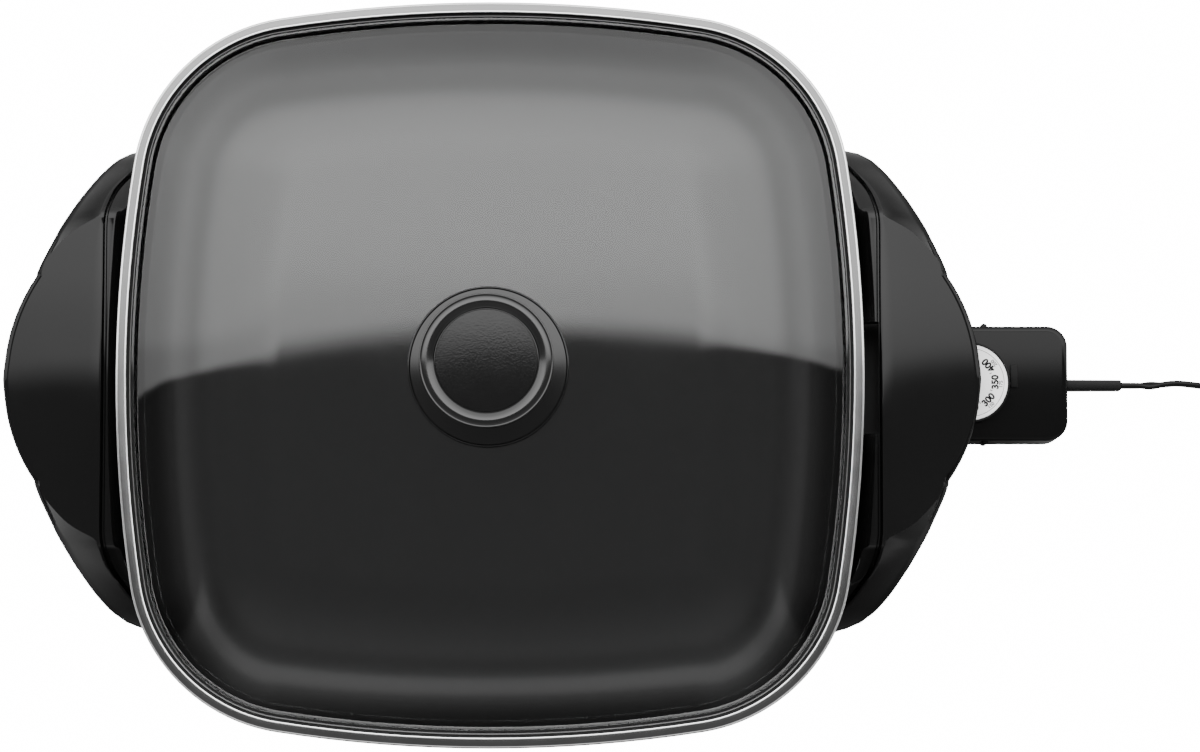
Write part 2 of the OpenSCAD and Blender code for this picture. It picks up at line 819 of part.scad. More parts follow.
module lid_seal()
    color("#0f0f10")
        placed()
            around()
                polygon([
                    [seal_in, glass_z - seal_t],
                    [pan_rim_w - 2, glass_z - seal_t],
                    [pan_rim_w - 2, glass_z],
                    [glass_in - play, glass_z],
                    [glass_in - play, flange_z],
                    [rim_w + seal_lip, flange_z],
                    [rim_w + seal_lip, flange_z + seal_t],
                    [rim_roll + play, flange_z + seal_t],
                    [seal_in, flange_z + seal_t - rim_roll + rim_t]
                ]);

module knob_gasket()
    color("#2a2a2c")
        placed()
            difference() {
                translate([0, 0, glass_top]) cylinder(r = neck_r + 5, h = gasket_t);
                translate([0, 0, glass_top - 1]) cylinder(r = glass_hole, h = gasket_t + 2);
            }

module knob_base()
    color("#222224")
        placed()
            rotate_extrude()
                polygon(concat(
                    [[knob_screw_r + gap, base_z], [base_r - 0.8, base_z], [base_r, base_z + 0.8]],
                    arc(base_r - 2, base_z + 1.2, 2, 0, 80, 4),
                    arc(neck_r + 8, grip_z - 1, 8, 255, 180, 6),
                    [[neck_r, grip_z], [knob_screw_r + gap, grip_z]]
                ));

module knob()
    color("#18181a")
        placed()
            rotate_extrude()
                polygon(concat(
                    [[insert_r + play / 2, grip_z], [neck_r, grip_z]],
                    arc(neck_r + 9, grip_z + 1, 9, 180, 128, 6),
                    arc(grip_r - flank_r, knob_top - 9, flank_r, -12, 33, 8),
                    [[lip_r, knob_top - 0.2], [lip_r - 0.5, knob_top], [lip_r - 1, knob_top - 0.2]],
                    [[grip_top_r + 0.4, knob_top - lip_h], [grip_top_r, knob_top - lip_h - 0.4]],
                    [[grip_top_r - 0.3, knob_top - lip_h], [0, knob_top - lip_h]],
                    [[0, grip_z + insert_h], [insert_r + play / 2, grip_z + insert_h]]
                ));

module knob_insert()
    color("#b08d4a")
        placed()
            difference() {
                translate([0, 0, grip_z]) cylinder(r = insert_r, h = insert_h);
                translate([0, 0, grip_z - 1]) cylinder(r = knob_screw_r + play, h = insert_h);
            }

module knob_washer()
    color("#c4c6c8")
        placed()
            translate([0, 0, glass_top - glass_t - washer_t])
                difference() {
                    cylinder(r = washer_r, h = washer_t);
                    translate([0, 0, -1]) cylinder(r = knob_screw_r + gap, h = washer_t + 2);
                }

module knob_screw()
    color("#c4c6c8")
        placed() {
            translate([0, 0, glass_top - glass_t - washer_t - knob_head_h])
                cylinder(r = knob_head_r, h = knob_head_h);
            translate([0, 0, glass_top - glass_t - washer_t])
                cylinder(r = knob_screw_r, h = glass_t + washer_t + gasket_t + base_h + insert_h - 2);
        }

// The control's housing as one block, and the room inside it
module control_block()
    rounded_block(control_start, control_end, control_w, control_z0, control_z1, control_r, control_edge);

module control_room()
    rounded_block(control_start + control_t, control_end - control_t, control_w - 2 * control_t,
        control_z0 + control_t, control_z1 - control_t, control_r - control_t, inner_edge);

// The part of space on one side of the housing's seam
module control_side(top)
    translate([control_start - 10, -control_w, top ? axis_z : axis_z - 2 * control_h])
        cube([control_l + 20, 2 * control_w, 2 * control_h]);

// What passes through the housing's end walls
module control_ways() {
    translate([control_start - 1, -nose_w / 2, axis_z - nose_h / 2])
        cube([control_t + 2, nose_w, nose_h]);
    translate([control_end - control_t - 1, -relief_w / 2, axis_z - relief_h0 / 2])
        cube([control_t + 2, relief_w, relief_h0]);
}

module control_top()
    color("#1b1b1d")
        placed() {
            difference() {
                union() {
                    difference() {
                        intersection() {
                            control_block();
                            control_side(true);
                        }
                        control_room();
                    }
                    at_posts()
                        translate([0, 0, axis_z])
                            cylinder(r = post_r, h = control_h / 2 - control_t / 2);
                }
                control_ways();
                at_posts()
                    translate([0, 0, axis_z - 1])
                        cylinder(r = post_screw_r + play, h = post_grip + 2);
                translate([dial_x, 0, control_z1 - control_t - 1])
                    cylinder(r = shaft_r + gap, h = control_t + 2);
            }
            translate([dial_x + dial_r + gap, -2, control_z1 - 0.4])
                cube([index_l, index_w, index_h + 0.4]);
            for (y = [-control_w / 2, control_w / 2])
                translate([pip_x, y, axis_z])
                    cylinder(r = pip_r, h = control_h / 2 - control_edge - 1);
        }

module control_bottom()
    color("#1b1b1d")
        placed()
            difference() {
                union() {
                    difference() {
                        intersection() {
                            control_block();
                            control_side(false);
                        }
                        control_room();
                    }
                    at_posts()
                        translate([0, 0, control_z0 + control_t / 2])
                            cylinder(r = post_r, h = control_h / 2 - control_t / 2);
                }
                control_ways();
                at_posts()
                    translate([0, 0, control_z0 - 1]) {
                        cylinder(r = post_screw_r + play, h = control_h);
                        cylinder(r = post_head_r + play, h = post_head_h + 1);
                    }
            }

module control_screws()
    color("#b9bcc0")
        placed()
            at_posts()
                translate([0, 0, control_z0]) {
                    translate([0, 0, post_head_h])
                        cylinder(r = post_screw_r, h = axis_z + post_grip - control_z0 - post_head_h);
                    cylinder(r = post_head_r, h = post_head_h);
                }

module probe_rod()
    color("#d2d4d6")
        placed() {
            rod_x(probe_tip + probe_r, 0, axis_z, probe_r, probe_end - probe_tip - probe_r);
            translate([probe_tip + probe_r, 0, axis_z]) sphere(r = probe_r);
        }

module contact_block()
    color("#2b2725")
        placed()
            difference() {
                translate([nose_start, -nose_w / 2 + play, axis_z - nose_h / 2 + play])
                    cube([nose_end - nose_start, nose_w - 2 * play, nose_h - 2 * play]);
                rod_x(nose_start - 1, 0, axis_z, probe_r + play / 2, nose_end - nose_start + 2);
                for (y = [-terminal_y, terminal_y])
                    rod_x(nose_start - 1, y, axis_z, sleeve_r + play / 2, sleeve_l + 2);
            }

module contact_sleeves()
    color("#c8a24a")
        placed()
            for (y = [-terminal_y, terminal_y])
                difference() {
                    rod_x(nose_start + 1, y, axis_z, sleeve_r, sleeve_l);
                    rod_x(nose_start, y, axis_z, pin_r + play, sleeve_l);
                }

module thermostat()
    color("#7d6a4f")
        placed()
            difference() {
                translate([nose_end, -frame_w / 2, control_z0 + control_t])
                    cube([frame_end - nose_end, frame_w, axis_z - control_z0 - control_t + 6]);
                rod_x(nose_end - 1, 0, axis_z, probe_r + play / 2, probe_end - nose_end + 2);
                translate([dial_x, 0, shaft_foot])
                    cylinder(r = shaft_r + play, h = 20);
            }

module switch_blades()
    color("#c8a24a")
        placed()
            for (side = [0, 1])
                mirror([0, side, 0])
                    translate([nose_end, frame_w / 2, axis_z - 3])
                        cube([frame_end - nose_end - 4, blade_t, 6]);

module strain_relief()
    color("#141415")
        placed()
            translate([0, relief_w / 2 - play, axis_z])
                rotate([90, 0, 0])
                    linear_extrude(relief_w - 2 * play)
                        polygon([
                            [control_end - control_t - relief_in, -relief_h0 / 2 - 1],
                            [control_end - control_t, -relief_h0 / 2 - 1],
                            [control_end - control_t, play - relief_h0 / 2],
                            [control_end, play - relief_h0 / 2],
                            [relief_end, -relief_h1 / 2],
                            [relief_end, relief_h1 / 2],
                            [control_end, relief_h0 / 2 - play],
                            [control_end - control_t, relief_h0 / 2 - play],
                            [control_end - control_t, relief_h0 / 2 + 1],
                            [control_end - control_t - relief_in, relief_h0 / 2 + 1]
                        ]);

// The flat cord swept along a route
module cord_along(route, outline)
    polyhedron(
        [
            for (i = [0:len(route) - 1])
                each cord_ring(route[i], heading(route, i), outline)
        ],
        skin_faces(len(route), len(outline))
    );

module cord()
    color("#121213")
        by_relief()
            cord_along(cord_route, cord_outline_8);

module cord_coil()
    color("#121213")
        by_relief()
            cord_along(coil_points, cord_outline_6);

// A flat band round the coil's bundle of turns, where it faces the control
module cord_tie()
    color("#1e1e20")
        by_relief() {
            inner_w = tie_out - tie_in;
            inner_h = cord_w + coil_layer + 2 * tie_gap;
            translate([coil_x - (tie_in + tie_out) / 2, coil_y + tie_w / 2, tie_t + inner_h / 2])
                rotate([90, 0, 0])
                    difference() {
                        linear_extrude(tie_w)
                            polygon(rounded(inner_w + 2 * tie_t, inner_h + 2 * tie_t, 2));
                        translate([0, 0, -1])
                            linear_extrude(tie_w + 2)
                                polygon(rounded(inner_w, inner_h, 2 - tie_t));
                    }
        }

module plug()
    color("#151516")
        by_relief()
            translate([coil_x + coil_r, plug_start, plug_z])
                rotate([90, 0, 0]) {
                    cylinder(r1 = cord_w / 2 + 0.6, r2 = cord_w / 2 + 2, h = plug_relief);
                    translate([0, 0, plug_relief])
                        linear_extrude(plug_l)
                            polygon(rounded(plug_w, 2 * plug_z, plug_round));
                }

module plug_blades()
    color("#c9b06a")
        by_relief()
            for (side = [-1, 1])
                translate([
                    coil_x + coil_r + side * blade_gap / 2 - plug_blade_t / 2,
                    plug_start - plug_relief - plug_l - blade_l,
                    plug_z - blade_w / 2
                ])
                    cube([plug_blade_t, blade_l, blade_w]);

module dial()
    color("#161617")
        placed()
            translate([dial_x, 0, 0])
                rotate_extrude()
                    polygon([
                        [shaft_r + play / 2, dial_z],
                        [dial_r, dial_z],
                        [dial_r, dial_top - 0.6],
                        [dial_r - 0.4, dial_top],
                        [dial_r - dial_rim, dial_top],
                        [dial_r - dial_rim, dial_top - plate_t - 0.2],
                        [0, dial_top - plate_t - 0.2],
                        [0, dial_top - plate_t - 1],
                        [shaft_r + play / 2, dial_top - plate_t - 1]
                    ]);

module dial_plate()
    color("#f2f2f0")
        placed()
            translate([dial_x, 0, dial_top - plate_t - 0.2])
                cylinder(r = dial_r - dial_rim - play, h = plate_t);

module dial_shaft()
    color("#b9bcc0")
        placed()
            translate([dial_x, 0, shaft_foot + play])
                cylinder(r = shaft_r, h = dial_top - plate_t - 1 - shaft_foot - play);

pan();
heating_element();
terminal_pins();
terminal_insulators();
terminal_guard();
guard_screws();
left_handle();
right_handle();
handle_screws();
lid_glass();
lid_rim();
lid_seal();
knob();
knob_base();
knob_insert();
knob_screw();
knob_washer();
knob_gasket();
control_top();
control_bottom();
control_screws();
probe_rod();
contact_block();
contact_sleeves();
thermostat();
switch_blades();
strain_relief();
cord();
cord_coil();
cord_tie();
plug();
plug_blades();
dial();
dial_plate();
dial_shaft();
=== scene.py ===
import math
import bpy
import bmesh
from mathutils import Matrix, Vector


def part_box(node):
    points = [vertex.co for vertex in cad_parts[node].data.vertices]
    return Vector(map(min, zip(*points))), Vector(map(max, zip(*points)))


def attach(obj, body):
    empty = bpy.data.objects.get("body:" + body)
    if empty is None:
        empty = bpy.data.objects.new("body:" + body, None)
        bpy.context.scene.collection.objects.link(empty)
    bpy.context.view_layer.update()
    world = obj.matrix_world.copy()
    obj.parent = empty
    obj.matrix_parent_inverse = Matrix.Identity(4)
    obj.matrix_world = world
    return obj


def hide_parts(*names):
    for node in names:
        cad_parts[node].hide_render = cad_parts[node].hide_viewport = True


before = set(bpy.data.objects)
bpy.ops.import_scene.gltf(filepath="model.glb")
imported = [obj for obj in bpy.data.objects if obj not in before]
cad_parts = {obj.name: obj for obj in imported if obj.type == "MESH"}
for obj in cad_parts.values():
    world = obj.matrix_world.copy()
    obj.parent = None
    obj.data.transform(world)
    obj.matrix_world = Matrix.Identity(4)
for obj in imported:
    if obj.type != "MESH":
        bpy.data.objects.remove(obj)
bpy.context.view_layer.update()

mm = 0.001
rimLow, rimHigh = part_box("lid_rim")
panX = (rimLow[0] + rimHigh[0]) / 2      # the pan's middle; pieces round it are drawn in millimetres from there


# camera

photoView = {"place": (0.026547, -0.152100, 1.893687), "tilt": 4.8, "lens": 128.16, "sensor": 36}

bpy.ops.object.camera_add(location=photoView["place"], rotation=(math.radians(photoView["tilt"]), 0, 0))
camera = bpy.context.object
camera.name = "photoCamera"
camera.data.lens = photoView["lens"]
camera.data.sensor_width = photoView["sensor"]
camera.data.clip_end = 60
bpy.context.scene.camera = camera
print("camera set")


# hand tools

def at(x, y, z):
    return Vector((panX + x * mm, y * mm, z * mm))


def arcPoints(cx, cz, r, start, end, steps):
    turns = [math.radians(start + (end - start) * i / steps) for i in range(steps + 1)]
    return [(cx + r * math.cos(a), cz + r * math.sin(a)) for a in turns]


def choose(main, *others):
    bpy.ops.object.select_all(action="DESELECT")
    for piece in (main, *others):
        piece.select_set(True)
    bpy.context.view_layer.objects.active = main


# merges the open piece's doubles, turns its faces outwards, leaves edit mode and returns the piece
def closePiece(smoothAngle=35):
    bpy.ops.mesh.select_mode(type="VERT")
    bpy.ops.mesh.select_all(action="SELECT")
    bpy.ops.mesh.remove_doubles(threshold=2e-6)
    bpy.ops.mesh.normals_make_consistent(inside=False)
    bpy.ops.object.mode_set(mode="OBJECT")
    bpy.ops.object.shade_smooth_by_angle(angle=math.radians(smoothAngle))
    return bpy.context.object


def pick(piece, kind, test):
    bpy.ops.mesh.select_mode(type=kind)
    bpy.ops.mesh.select_all(action="DESELECT")
    shape = bmesh.from_edit_mesh(piece.data)
    for item in {"VERT": shape.verts, "EDGE": shape.edges, "FACE": shape.faces}[kind]:
        if test(item):
            item.select_set(True)
    shape.select_flush_mode()
    bmesh.update_edit_mesh(piece.data)


def middle(edge):
    return (edge.verts[0].co + edge.verts[1].co) / 2


def runs(edge, axis):
    return abs((edge.verts[1].co - edge.verts[0].co).normalized()[axis]) > 0.99


def nameNew(name):
    piece = bpy.context.object
    piece.name = name
    piece.data.name = name
    return piece


def extrude(step):
    bpy.ops.mesh.extrude_region_move(TRANSFORM_OT_translate={"value": step})


# a chain of edges, drawn point by point, left open and all selected for more work
def drawChain(name, points):
    bpy.ops.mesh.primitive_plane_add(size=mm, location=(0, 0, 0))
    piece = nameNew(name)
    bpy.ops.object.mode_set(mode="EDIT")
    bpy.ops.mesh.select_mode(type="VERT")
    bpy.ops.mesh.merge(type="CENTER")
    bpy.ops.transform.translate(value=points[0])
    for here, there in zip(points, points[1:]):
        extrude(Vector(there) - Vector(here))
    bpy.ops.mesh.select_all(action="SELECT")
    return piece


# a block between two corners, left open for more work
def addBlock(name, low, high):
    low, high = Vector(low), Vector(high)
    bpy.ops.mesh.primitive_cube_add(size=1, location=(0, 0, 0))
    piece = nameNew(name)
    bpy.ops.object.mode_set(mode="EDIT")
    bpy.ops.transform.resize(value=high - low, center_override=(0, 0, 0))
    bpy.ops.transform.translate(value=(low + high) / 2)
    return piece


def roundEdges(piece, test, width, segments):
    pick(piece, "EDGE", test)
    bpy.ops.mesh.bevel(offset=width * mm, segments=segments, affect="EDGES", clamp_overlap=True)


# a chain of points turned all the way round an axis
def spinChain(name, points, steps, center, axis):
    drawChain(name, points)
    bpy.ops.mesh.spin(steps=steps, angle=2 * math.pi, center=center, axis=axis)
    return closePiece()


# a section of (radius, height) points turned round an upright axis
def turnPiece(name, section, middleX, middleY, steps):
    points = [(middleX + r * mm, middleY, z * mm) for r, z in section]
    return spinChain(name, points, steps, (middleX, middleY, 0), (0, 0, 1))


# the lid's plan: four bowed sides and four round corners, which the swept pieces follow
plan = {"half": 158, "cornerAt": 78, "cornerR": 74, "cornerSteps": 22, "sideSteps": 16}
plan["cornerIn"] = plan["half"] - plan["cornerR"]
plan["throw"] = (2 * plan["cornerAt"] ** 2 - plan["cornerIn"] ** 2) / (2 * (plan["cornerIn"] - plan["cornerAt"]))
plan["seam"] = math.atan2(plan["cornerAt"], plan["cornerAt"] + plan["throw"])


# a section of (distance in from the lid's edge, height) points, spun round the plan arc by arc
def sweepRound(name, section):
    out = Vector((math.cos(plan["seam"]), math.sin(plan["seam"])))
    points = []
    for inset, z in section:
        reach = plan["cornerR"] - inset
        points.append(at(plan["cornerAt"] + reach * out.x, plan["cornerAt"] + reach * out.y, z))
    piece = drawChain(name, points)
    for c, s in ((1, 0), (0, 1), (-1, 0), (0, -1)):
        corner = Vector((plan["cornerAt"] * (c - s), plan["cornerAt"] * (s + c)))
        side = Vector((plan["throw"] * s, -plan["throw"] * c))
        bpy.ops.mesh.spin(steps=plan["cornerSteps"], angle=-(math.pi / 2 - 2 * plan["seam"]),
                          center=at(corner.x, corner.y, 0), axis=(0, 0, 1))
        bpy.ops.mesh.spin(steps=plan["sideSteps"], angle=-2 * plan["seam"],
                          center=at(side.x, side.y, 0), axis=(0, 0, 1))
    bpy.ops.mesh.select_all(action="SELECT")
    bpy.ops.mesh.remove_doubles(threshold=1e-5)
    return piece


# fills an open loop of the piece at one height
def capLoop(piece, z):
    pick(piece, "EDGE", lambda e: len(e.link_faces) == 1 and abs(middle(e).z - z * mm) < 1e-5)
    bpy.ops.mesh.edge_face_add()


def applyModifier(piece, kind, **settings):
    choose(piece)
    modifier = piece.modifiers.new(kind.lower(), kind)
    for key, value in settings.items():
        setattr(modifier, key, value)
    bpy.ops.object.modifier_apply(modifier=modifier.name)


def joinPieces(main, others):
    choose(main, *others)
    bpy.ops.object.join()
    return main


def finishPiece(piece, body, finishes, replaced=()):
    for finish in finishes:
        piece.data.materials.append(finish)
    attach(piece, body)
    if replaced:
        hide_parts(*replaced)


# gives the faces that pass the test the piece's second finish
def markFaces(piece, test):
    for face in piece.data.polygons:
        if test(face):
            face.material_index = 1


# shared surface effects

def newGroup(name, inputs, outputs):
    group = bpy.data.node_groups.new(name, "ShaderNodeTree")
    for label, value in inputs:
        socket = group.interface.new_socket(name=label, in_out="INPUT", socket_type="NodeSocketFloat")
        socket.default_value = value
    for label in outputs:
        group.interface.new_socket(name=label, in_out="OUTPUT", socket_type="NodeSocketFloat")
    start = group.nodes.new("NodeGroupInput")
    end = group.nodes.new("NodeGroupOutput")
    place = group.nodes.new("ShaderNodeTexCoord").outputs["Object"]
    return group, start, end, place


# a number is set on the socket, and anything else is linked to it
def feed(tree, value, socket):
    if isinstance(value, (int, float)):
        socket.default_value = value
    else:
        tree.links.new(value, socket)


def reckon(tree, operation, first, second=0):
    node = tree.nodes.new("ShaderNodeMath")
    node.operation = operation
    feed(tree, first, node.inputs[0])
    feed(tree, second, node.inputs[1])
    return node.outputs[0]


def addNoise(tree, place, scale, detail):
    noise = tree.nodes.new("ShaderNodeTexNoise")
    noise.inputs["Detail"].default_value = detail
    tree.links.new(place, noise.inputs["Vector"])
    feed(tree, scale, noise.inputs["Scale"])
    return noise.outputs["Fac"]


def mapBetween(tree, value, low, high, outLow=0, outHigh=1):
    ranger = tree.nodes.new("ShaderNodeMapRange")
    given = {"Value": value, "From Min": low, "From Max": high, "To Min": outLow, "To Max": outHigh}
    for label, part in given.items():
        feed(tree, part, ranger.inputs[label])
    return ranger.outputs["Result"]


# fine moulded grain, with large soft patches of more and less gloss
def makeGrainGroup():
    group, start, end, place = newGroup(
        "mouldedGrain", [("Grain Scale", 1500), ("Patch Scale", 22), ("Rough Low", 0.3), ("Rough High", 0.4)],
        ["Height", "Roughness", "Patch"])
    fine = addNoise(group, place, start.outputs["Grain Scale"], 3)
    patch = addNoise(group, place, start.outputs["Patch Scale"], 4)
    rough = mapBetween(group, patch, 0.35, 0.65, start.outputs["Rough Low"], start.outputs["Rough High"])
    group.links.new(fine, end.inputs["Height"])
    group.links.new(rough, end.inputs["Roughness"])
    group.links.new(patch, end.inputs["Patch"])
    return group


# rounded pebbles with thin valleys, as on a textured moulding
def makePebbleGroup():
    group, start, end, place = newGroup("pebbleGrain", [("Pebble Scale", 900)], ["Height"])
    cells = group.nodes.new("ShaderNodeTexVoronoi")
    cells.feature = "SMOOTH_F1"
    cells.inputs["Smoothness"].default_value = 0.6
    group.links.new(place, cells.inputs["Vector"])
    group.links.new(start.outputs["Pebble Scale"], cells.inputs["Scale"])
    height = mapBetween(group, cells.outputs["Distance"], 0.0, 0.7, 1.0, 0.0)
    group.links.new(height, end.inputs["Height"])
    return group


# painted sheen on outer edges: a mask that is 1 on outer edges, broken up by noise, where the colour is lightened
def makePaintedSheenGroup():
    group, start, end, place = newGroup("paintedEdgeSheen", [("Amount", 1.0)], ["Mask"])
    geometry = group.nodes.new("ShaderNodeNewGeometry")
    edge = mapBetween(group, geometry.outputs["Pointiness"], 0.52, 0.60, 0.0, start.outputs["Amount"])
    broken = mapBetween(group, addNoise(group, place, 160, 4), 0.3, 0.6, 0.3, 1.0)
    group.links.new(reckon(group, "MULTIPLY", edge, broken), end.inputs["Mask"])
    return group


grainGroup = makeGrainGroup()
pebbleGroup = makePebbleGroup()
paintedSheenGroup = makePaintedSheenGroup()
print("surface effects made")


# finishes

def newFinish(name):
    finish = bpy.data.materials.new(name)
    finish.use_nodes = True
    tree = finish.node_tree
    return finish, tree, tree.nodes["Principled BSDF"]


def placeGroup(tree, group, values):
    node = tree.nodes.new("ShaderNodeGroup")
    node.node_tree = group
    for label, value in values.items():
        node.inputs[label].default_value = value
    return node


def placeGrain(tree, grainScale, patchScale, rough):
    return placeGroup(tree, grainGroup, {"Grain Scale": grainScale, "Patch Scale": patchScale,
                                         "Rough Low": rough[0], "Rough High": rough[1]})


# what every grained finish shares: colour, gloss and relief
def dress(tree, shader, grain, colour, specular, height, depth):
    tree.links.new(colour, shader.inputs["Base Color"])
    tree.links.new(grain.outputs["Roughness"], shader.inputs["Roughness"])
    shader.inputs["Specular IOR Level"].default_value = specular
    bump = tree.nodes.new("ShaderNodeBump")
    bump.inputs["Distance"].default_value = depth * mm
    tree.links.new(height, bump.inputs["Height"])
    tree.links.new(bump.outputs["Normal"], shader.inputs["Normal"])


def mixColours(tree, factor, low, high):
    mix = tree.nodes.new("ShaderNodeMix")
    mix.data_type = "RGBA"
    for label, colour in (("A", low), ("B", high)):
        if isinstance(colour, tuple):
            mix.inputs[label].default_value = (*colour, 1)
        else:
            tree.links.new(colour, mix.inputs[label])
    tree.links.new(factor, mix.inputs["Factor"])
    return mix.outputs["Result"]


# moulded plastic, rubber, metal or ceramic: a dark and a light tint, a gloss range and a grain, and with edge set a
# painted sheen on outer edges
def mouldedFinish(name, dark, light, rough, grainScale, grainDepth, specular=0.5, edge=0.0, metal=0.0,
                  patchScale=22):
    finish, tree, shader = newFinish(name)
    grain = placeGrain(tree, grainScale, patchScale, rough)
    colour = mixColours(tree, grain.outputs["Patch"], dark, light)
    # painted edge sheen: on outer edges the colour is lightened towards three times the light tint
    if edge:
        edges = placeGroup(tree, paintedSheenGroup, {"Amount": edge})
        colour = mixColours(tree, edges.outputs["Mask"], colour, tuple(c * 3 for c in light))
    shader.inputs["Metallic"].default_value = metal
    dress(tree, shader, grain, colour, specular, grain.outputs["Height"], grainDepth)
    return finish


def grey(value):
    return (value, value, value)


def makeGlass():
    finish, tree, shader = newFinish("lidGlassTint")
    grain = placeGrain(tree, 60, 14, (0.015, 0.03))
    shader.inputs["Base Color"].default_value = (0.22, 0.225, 0.225, 1)
    shader.inputs["Transmission Weight"].default_value = 1.0
    shader.inputs["IOR"].default_value = 1.52
    shader.inputs["Specular IOR Level"].default_value = 1.0
    tree.links.new(grain.outputs["Roughness"], shader.inputs["Roughness"])
    return finish


def makePebbled():
    finish, tree, shader = newFinish("knobPebbled")
    grain = placeGrain(tree, 900, 60, (0.055, 0.065))
    pebbles = placeGroup(tree, pebbleGroup, {"Pebble Scale": 1500})
    colour = mixColours(tree, grain.outputs["Patch"], grey(0.001), grey(0.0015))
    dress(tree, shader, grain, colour, 0.28, pebbles.outputs["Height"], 0.0028)
    return finish


# nonstick coat: near black with a fine pale speckle
def makeNonstick():
    finish, tree, shader = newFinish("nonstickCoat")
    grain = placeGrain(tree, 2200, 30, (0.34, 0.46))
    place = tree.nodes.new("ShaderNodeTexCoord").outputs["Object"]
    speck = mapBetween(tree, addNoise(tree, place, 1300, 2), 0.66, 0.74)
    colour = mixColours(tree, speck, grey(0.005), grey(0.03))
    dress(tree, shader, grain, colour, 0.2, grain.outputs["Height"], 0.02)
    return finish


# the handles and the control carry a painted sheen on their outer edges (their last number)
handleFinish = mouldedFinish("handleSatin", grey(0.0020), grey(0.0032), (0.022, 0.034), 2400, 0.0003, 0.195, 0.5)
controlFinish = mouldedFinish("controlSatin", grey(0.0015), grey(0.0022), (0.024, 0.034), 2600, 0.0003, 0.14, 0.4)
guardFinish = mouldedFinish("guardPhenolic", grey(0.004), grey(0.006), (0.4, 0.5), 1600, 0.02, 0.2)
knobFinish = mouldedFinish("knobGloss", grey(0.0012), grey(0.0018), (0.13, 0.17), 1500, 0.0006, 0.5)
flangeFinish = mouldedFinish("flangeGloss", grey(0.0008), grey(0.0012), (0.13, 0.17), 1500, 0.0006, 0.36)
rimFinish = mouldedFinish("rimPolished", grey(0.86), grey(0.93), (0.08, 0.13), 3200, 0.0006,
                          metal=1.0, patchScale=45)
# the rim's flat band: brushed, and painted shade as a much darker steel colour than the polished roll
brushedPaintedShadeFinish = mouldedFinish("rimBrushedPaintedShade", grey(0.11), grey(0.14), (0.14, 0.20), 3200, 0.002,
                              metal=1.0, patchScale=45)
sealFinish = mouldedFinish("sealSilicone", grey(0.0012), grey(0.002), (0.3, 0.4), 1800, 0.004, 0.1)
beadFinish = mouldedFinish("sealBeadGloss", grey(0.0012), grey(0.002), (0.12, 0.18), 1800, 0.0008, 1.0)
gasketFinish = mouldedFinish("gasketRubber", grey(0.003), grey(0.005), (0.45, 0.6), 1800, 0.01, 0.2)
cordFinish = mouldedFinish("cordVinyl", grey(0.0025), grey(0.004), (0.32, 0.42), 2600, 0.012, 0.12)
tieFinish = mouldedFinish("tieWoven", grey(0.014), grey(0.024), (0.75, 0.9), 3400, 0.12)
dialFinish = mouldedFinish("dialRim", grey(0.002), grey(0.003), (0.22, 0.3), 2200, 0.008, 0.12)
plateFinish = mouldedFinish("dialWhite", grey(0.95), grey(0.98), (0.3, 0.4), 2200, 0.004)
inkFinish = mouldedFinish("dialInk", grey(0.002), grey(0.004), (0.4, 0.5), 2600, 0.002, 0.1)
paleInkFinish = mouldedFinish("dialPaleInk", grey(0.03), grey(0.05), (0.4, 0.5), 2600, 0.002)
sheathFinish = mouldedFinish("elementSheath", (0.20, 0.18, 0.15), (0.30, 0.28, 0.25), (0.38, 0.55), 1800, 0.02,
                             metal=1.0)
platedFinish = mouldedFinish("platedSteel", grey(0.62), grey(0.75), (0.18, 0.32), 2200, 0.004,
                             metal=1.0, patchScale=120)
ceramicFinish = mouldedFinish("ceramicBead", (0.72, 0.69, 0.62), (0.80, 0.77, 0.70), (0.5, 0.65), 1500, 0.02)
brassFinish = mouldedFinish("brassWorn", (0.55, 0.38, 0.14), (0.70, 0.52, 0.22), (0.24, 0.4), 1800, 0.006,
                            metal=1.0, patchScale=90)
boardFinish = mouldedFinish("phenolicBoard", (0.10, 0.06, 0.03), (0.16, 0.10, 0.05), (0.45, 0.6), 1400, 0.03)
glassFinish = makeGlass()
pebbledFinish = makePebbled()
nonstickFinish = makeNonstick()
print("finishes made")


# CAD nodes that stay as they are, with their finish

carriedNodes = (
    (platedFinish, ("terminal_pins", "guard_screws", "handle_screws", "knob_screw", "knob_washer", "control_screws",
                    "probe_rod", "dial_shaft")),
    (brassFinish, ("knob_insert", "contact_sleeves", "switch_blades", "plug_blades")),
    (boardFinish, ("contact_block", "thermostat")),
    (sheathFinish, ("heating_element",)), (ceramicFinish, ("terminal_insulators",)),
    (guardFinish, ("terminal_guard",)), (gasketFinish, ("knob_gasket",)),
)
for finish, nodeNames in carriedNodes:
    for nodeName in nodeNames:
        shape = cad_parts[nodeName]
        for piece in (shape if isinstance(shape, (list, tuple)) else [shape]):
            piece.data.materials.clear()
            piece.data.materials.append(finish)
print("carried nodes finished")


# cord: its route down to the table and its coil, in millimetres from the end of the strain relief

cord = {
    "route": [
        (0, 0, 31), (6, 0, 31), (12, 0, 31), (18, 0.4, 31), (24, 1, 31), (30, 0.6, 30.4), (36, 0, 28.8),
        (42, -0.8, 26), (47, -1.8, 22.8), (52, -2.8, 19), (57, -4, 15), (62, -5.4, 11.4), (67, -7, 8.2),
        (72, -8.5, 5.8), (77, -9.6, 4.3), (82, -10, 3.6),
    ],
    "width": 5.2, "thick": 2.6, "web": 0.95,
    "coilX": 87.2, "coilY": -42, "coilZ": 3.6, "coilR": 32, "turns": 3.25, "step": 3.6, "layer": 5.8, "dip": 3,
    "loopRings": 24, "between": 3,
    "outline": (0, 0.35, 0.8, 1.3, 1.75, 2.2, 2.5, 2.6), "twistFrom": 7, "twistTo": 19, "twist": 28,
}
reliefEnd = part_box("strain_relief")[1][0]


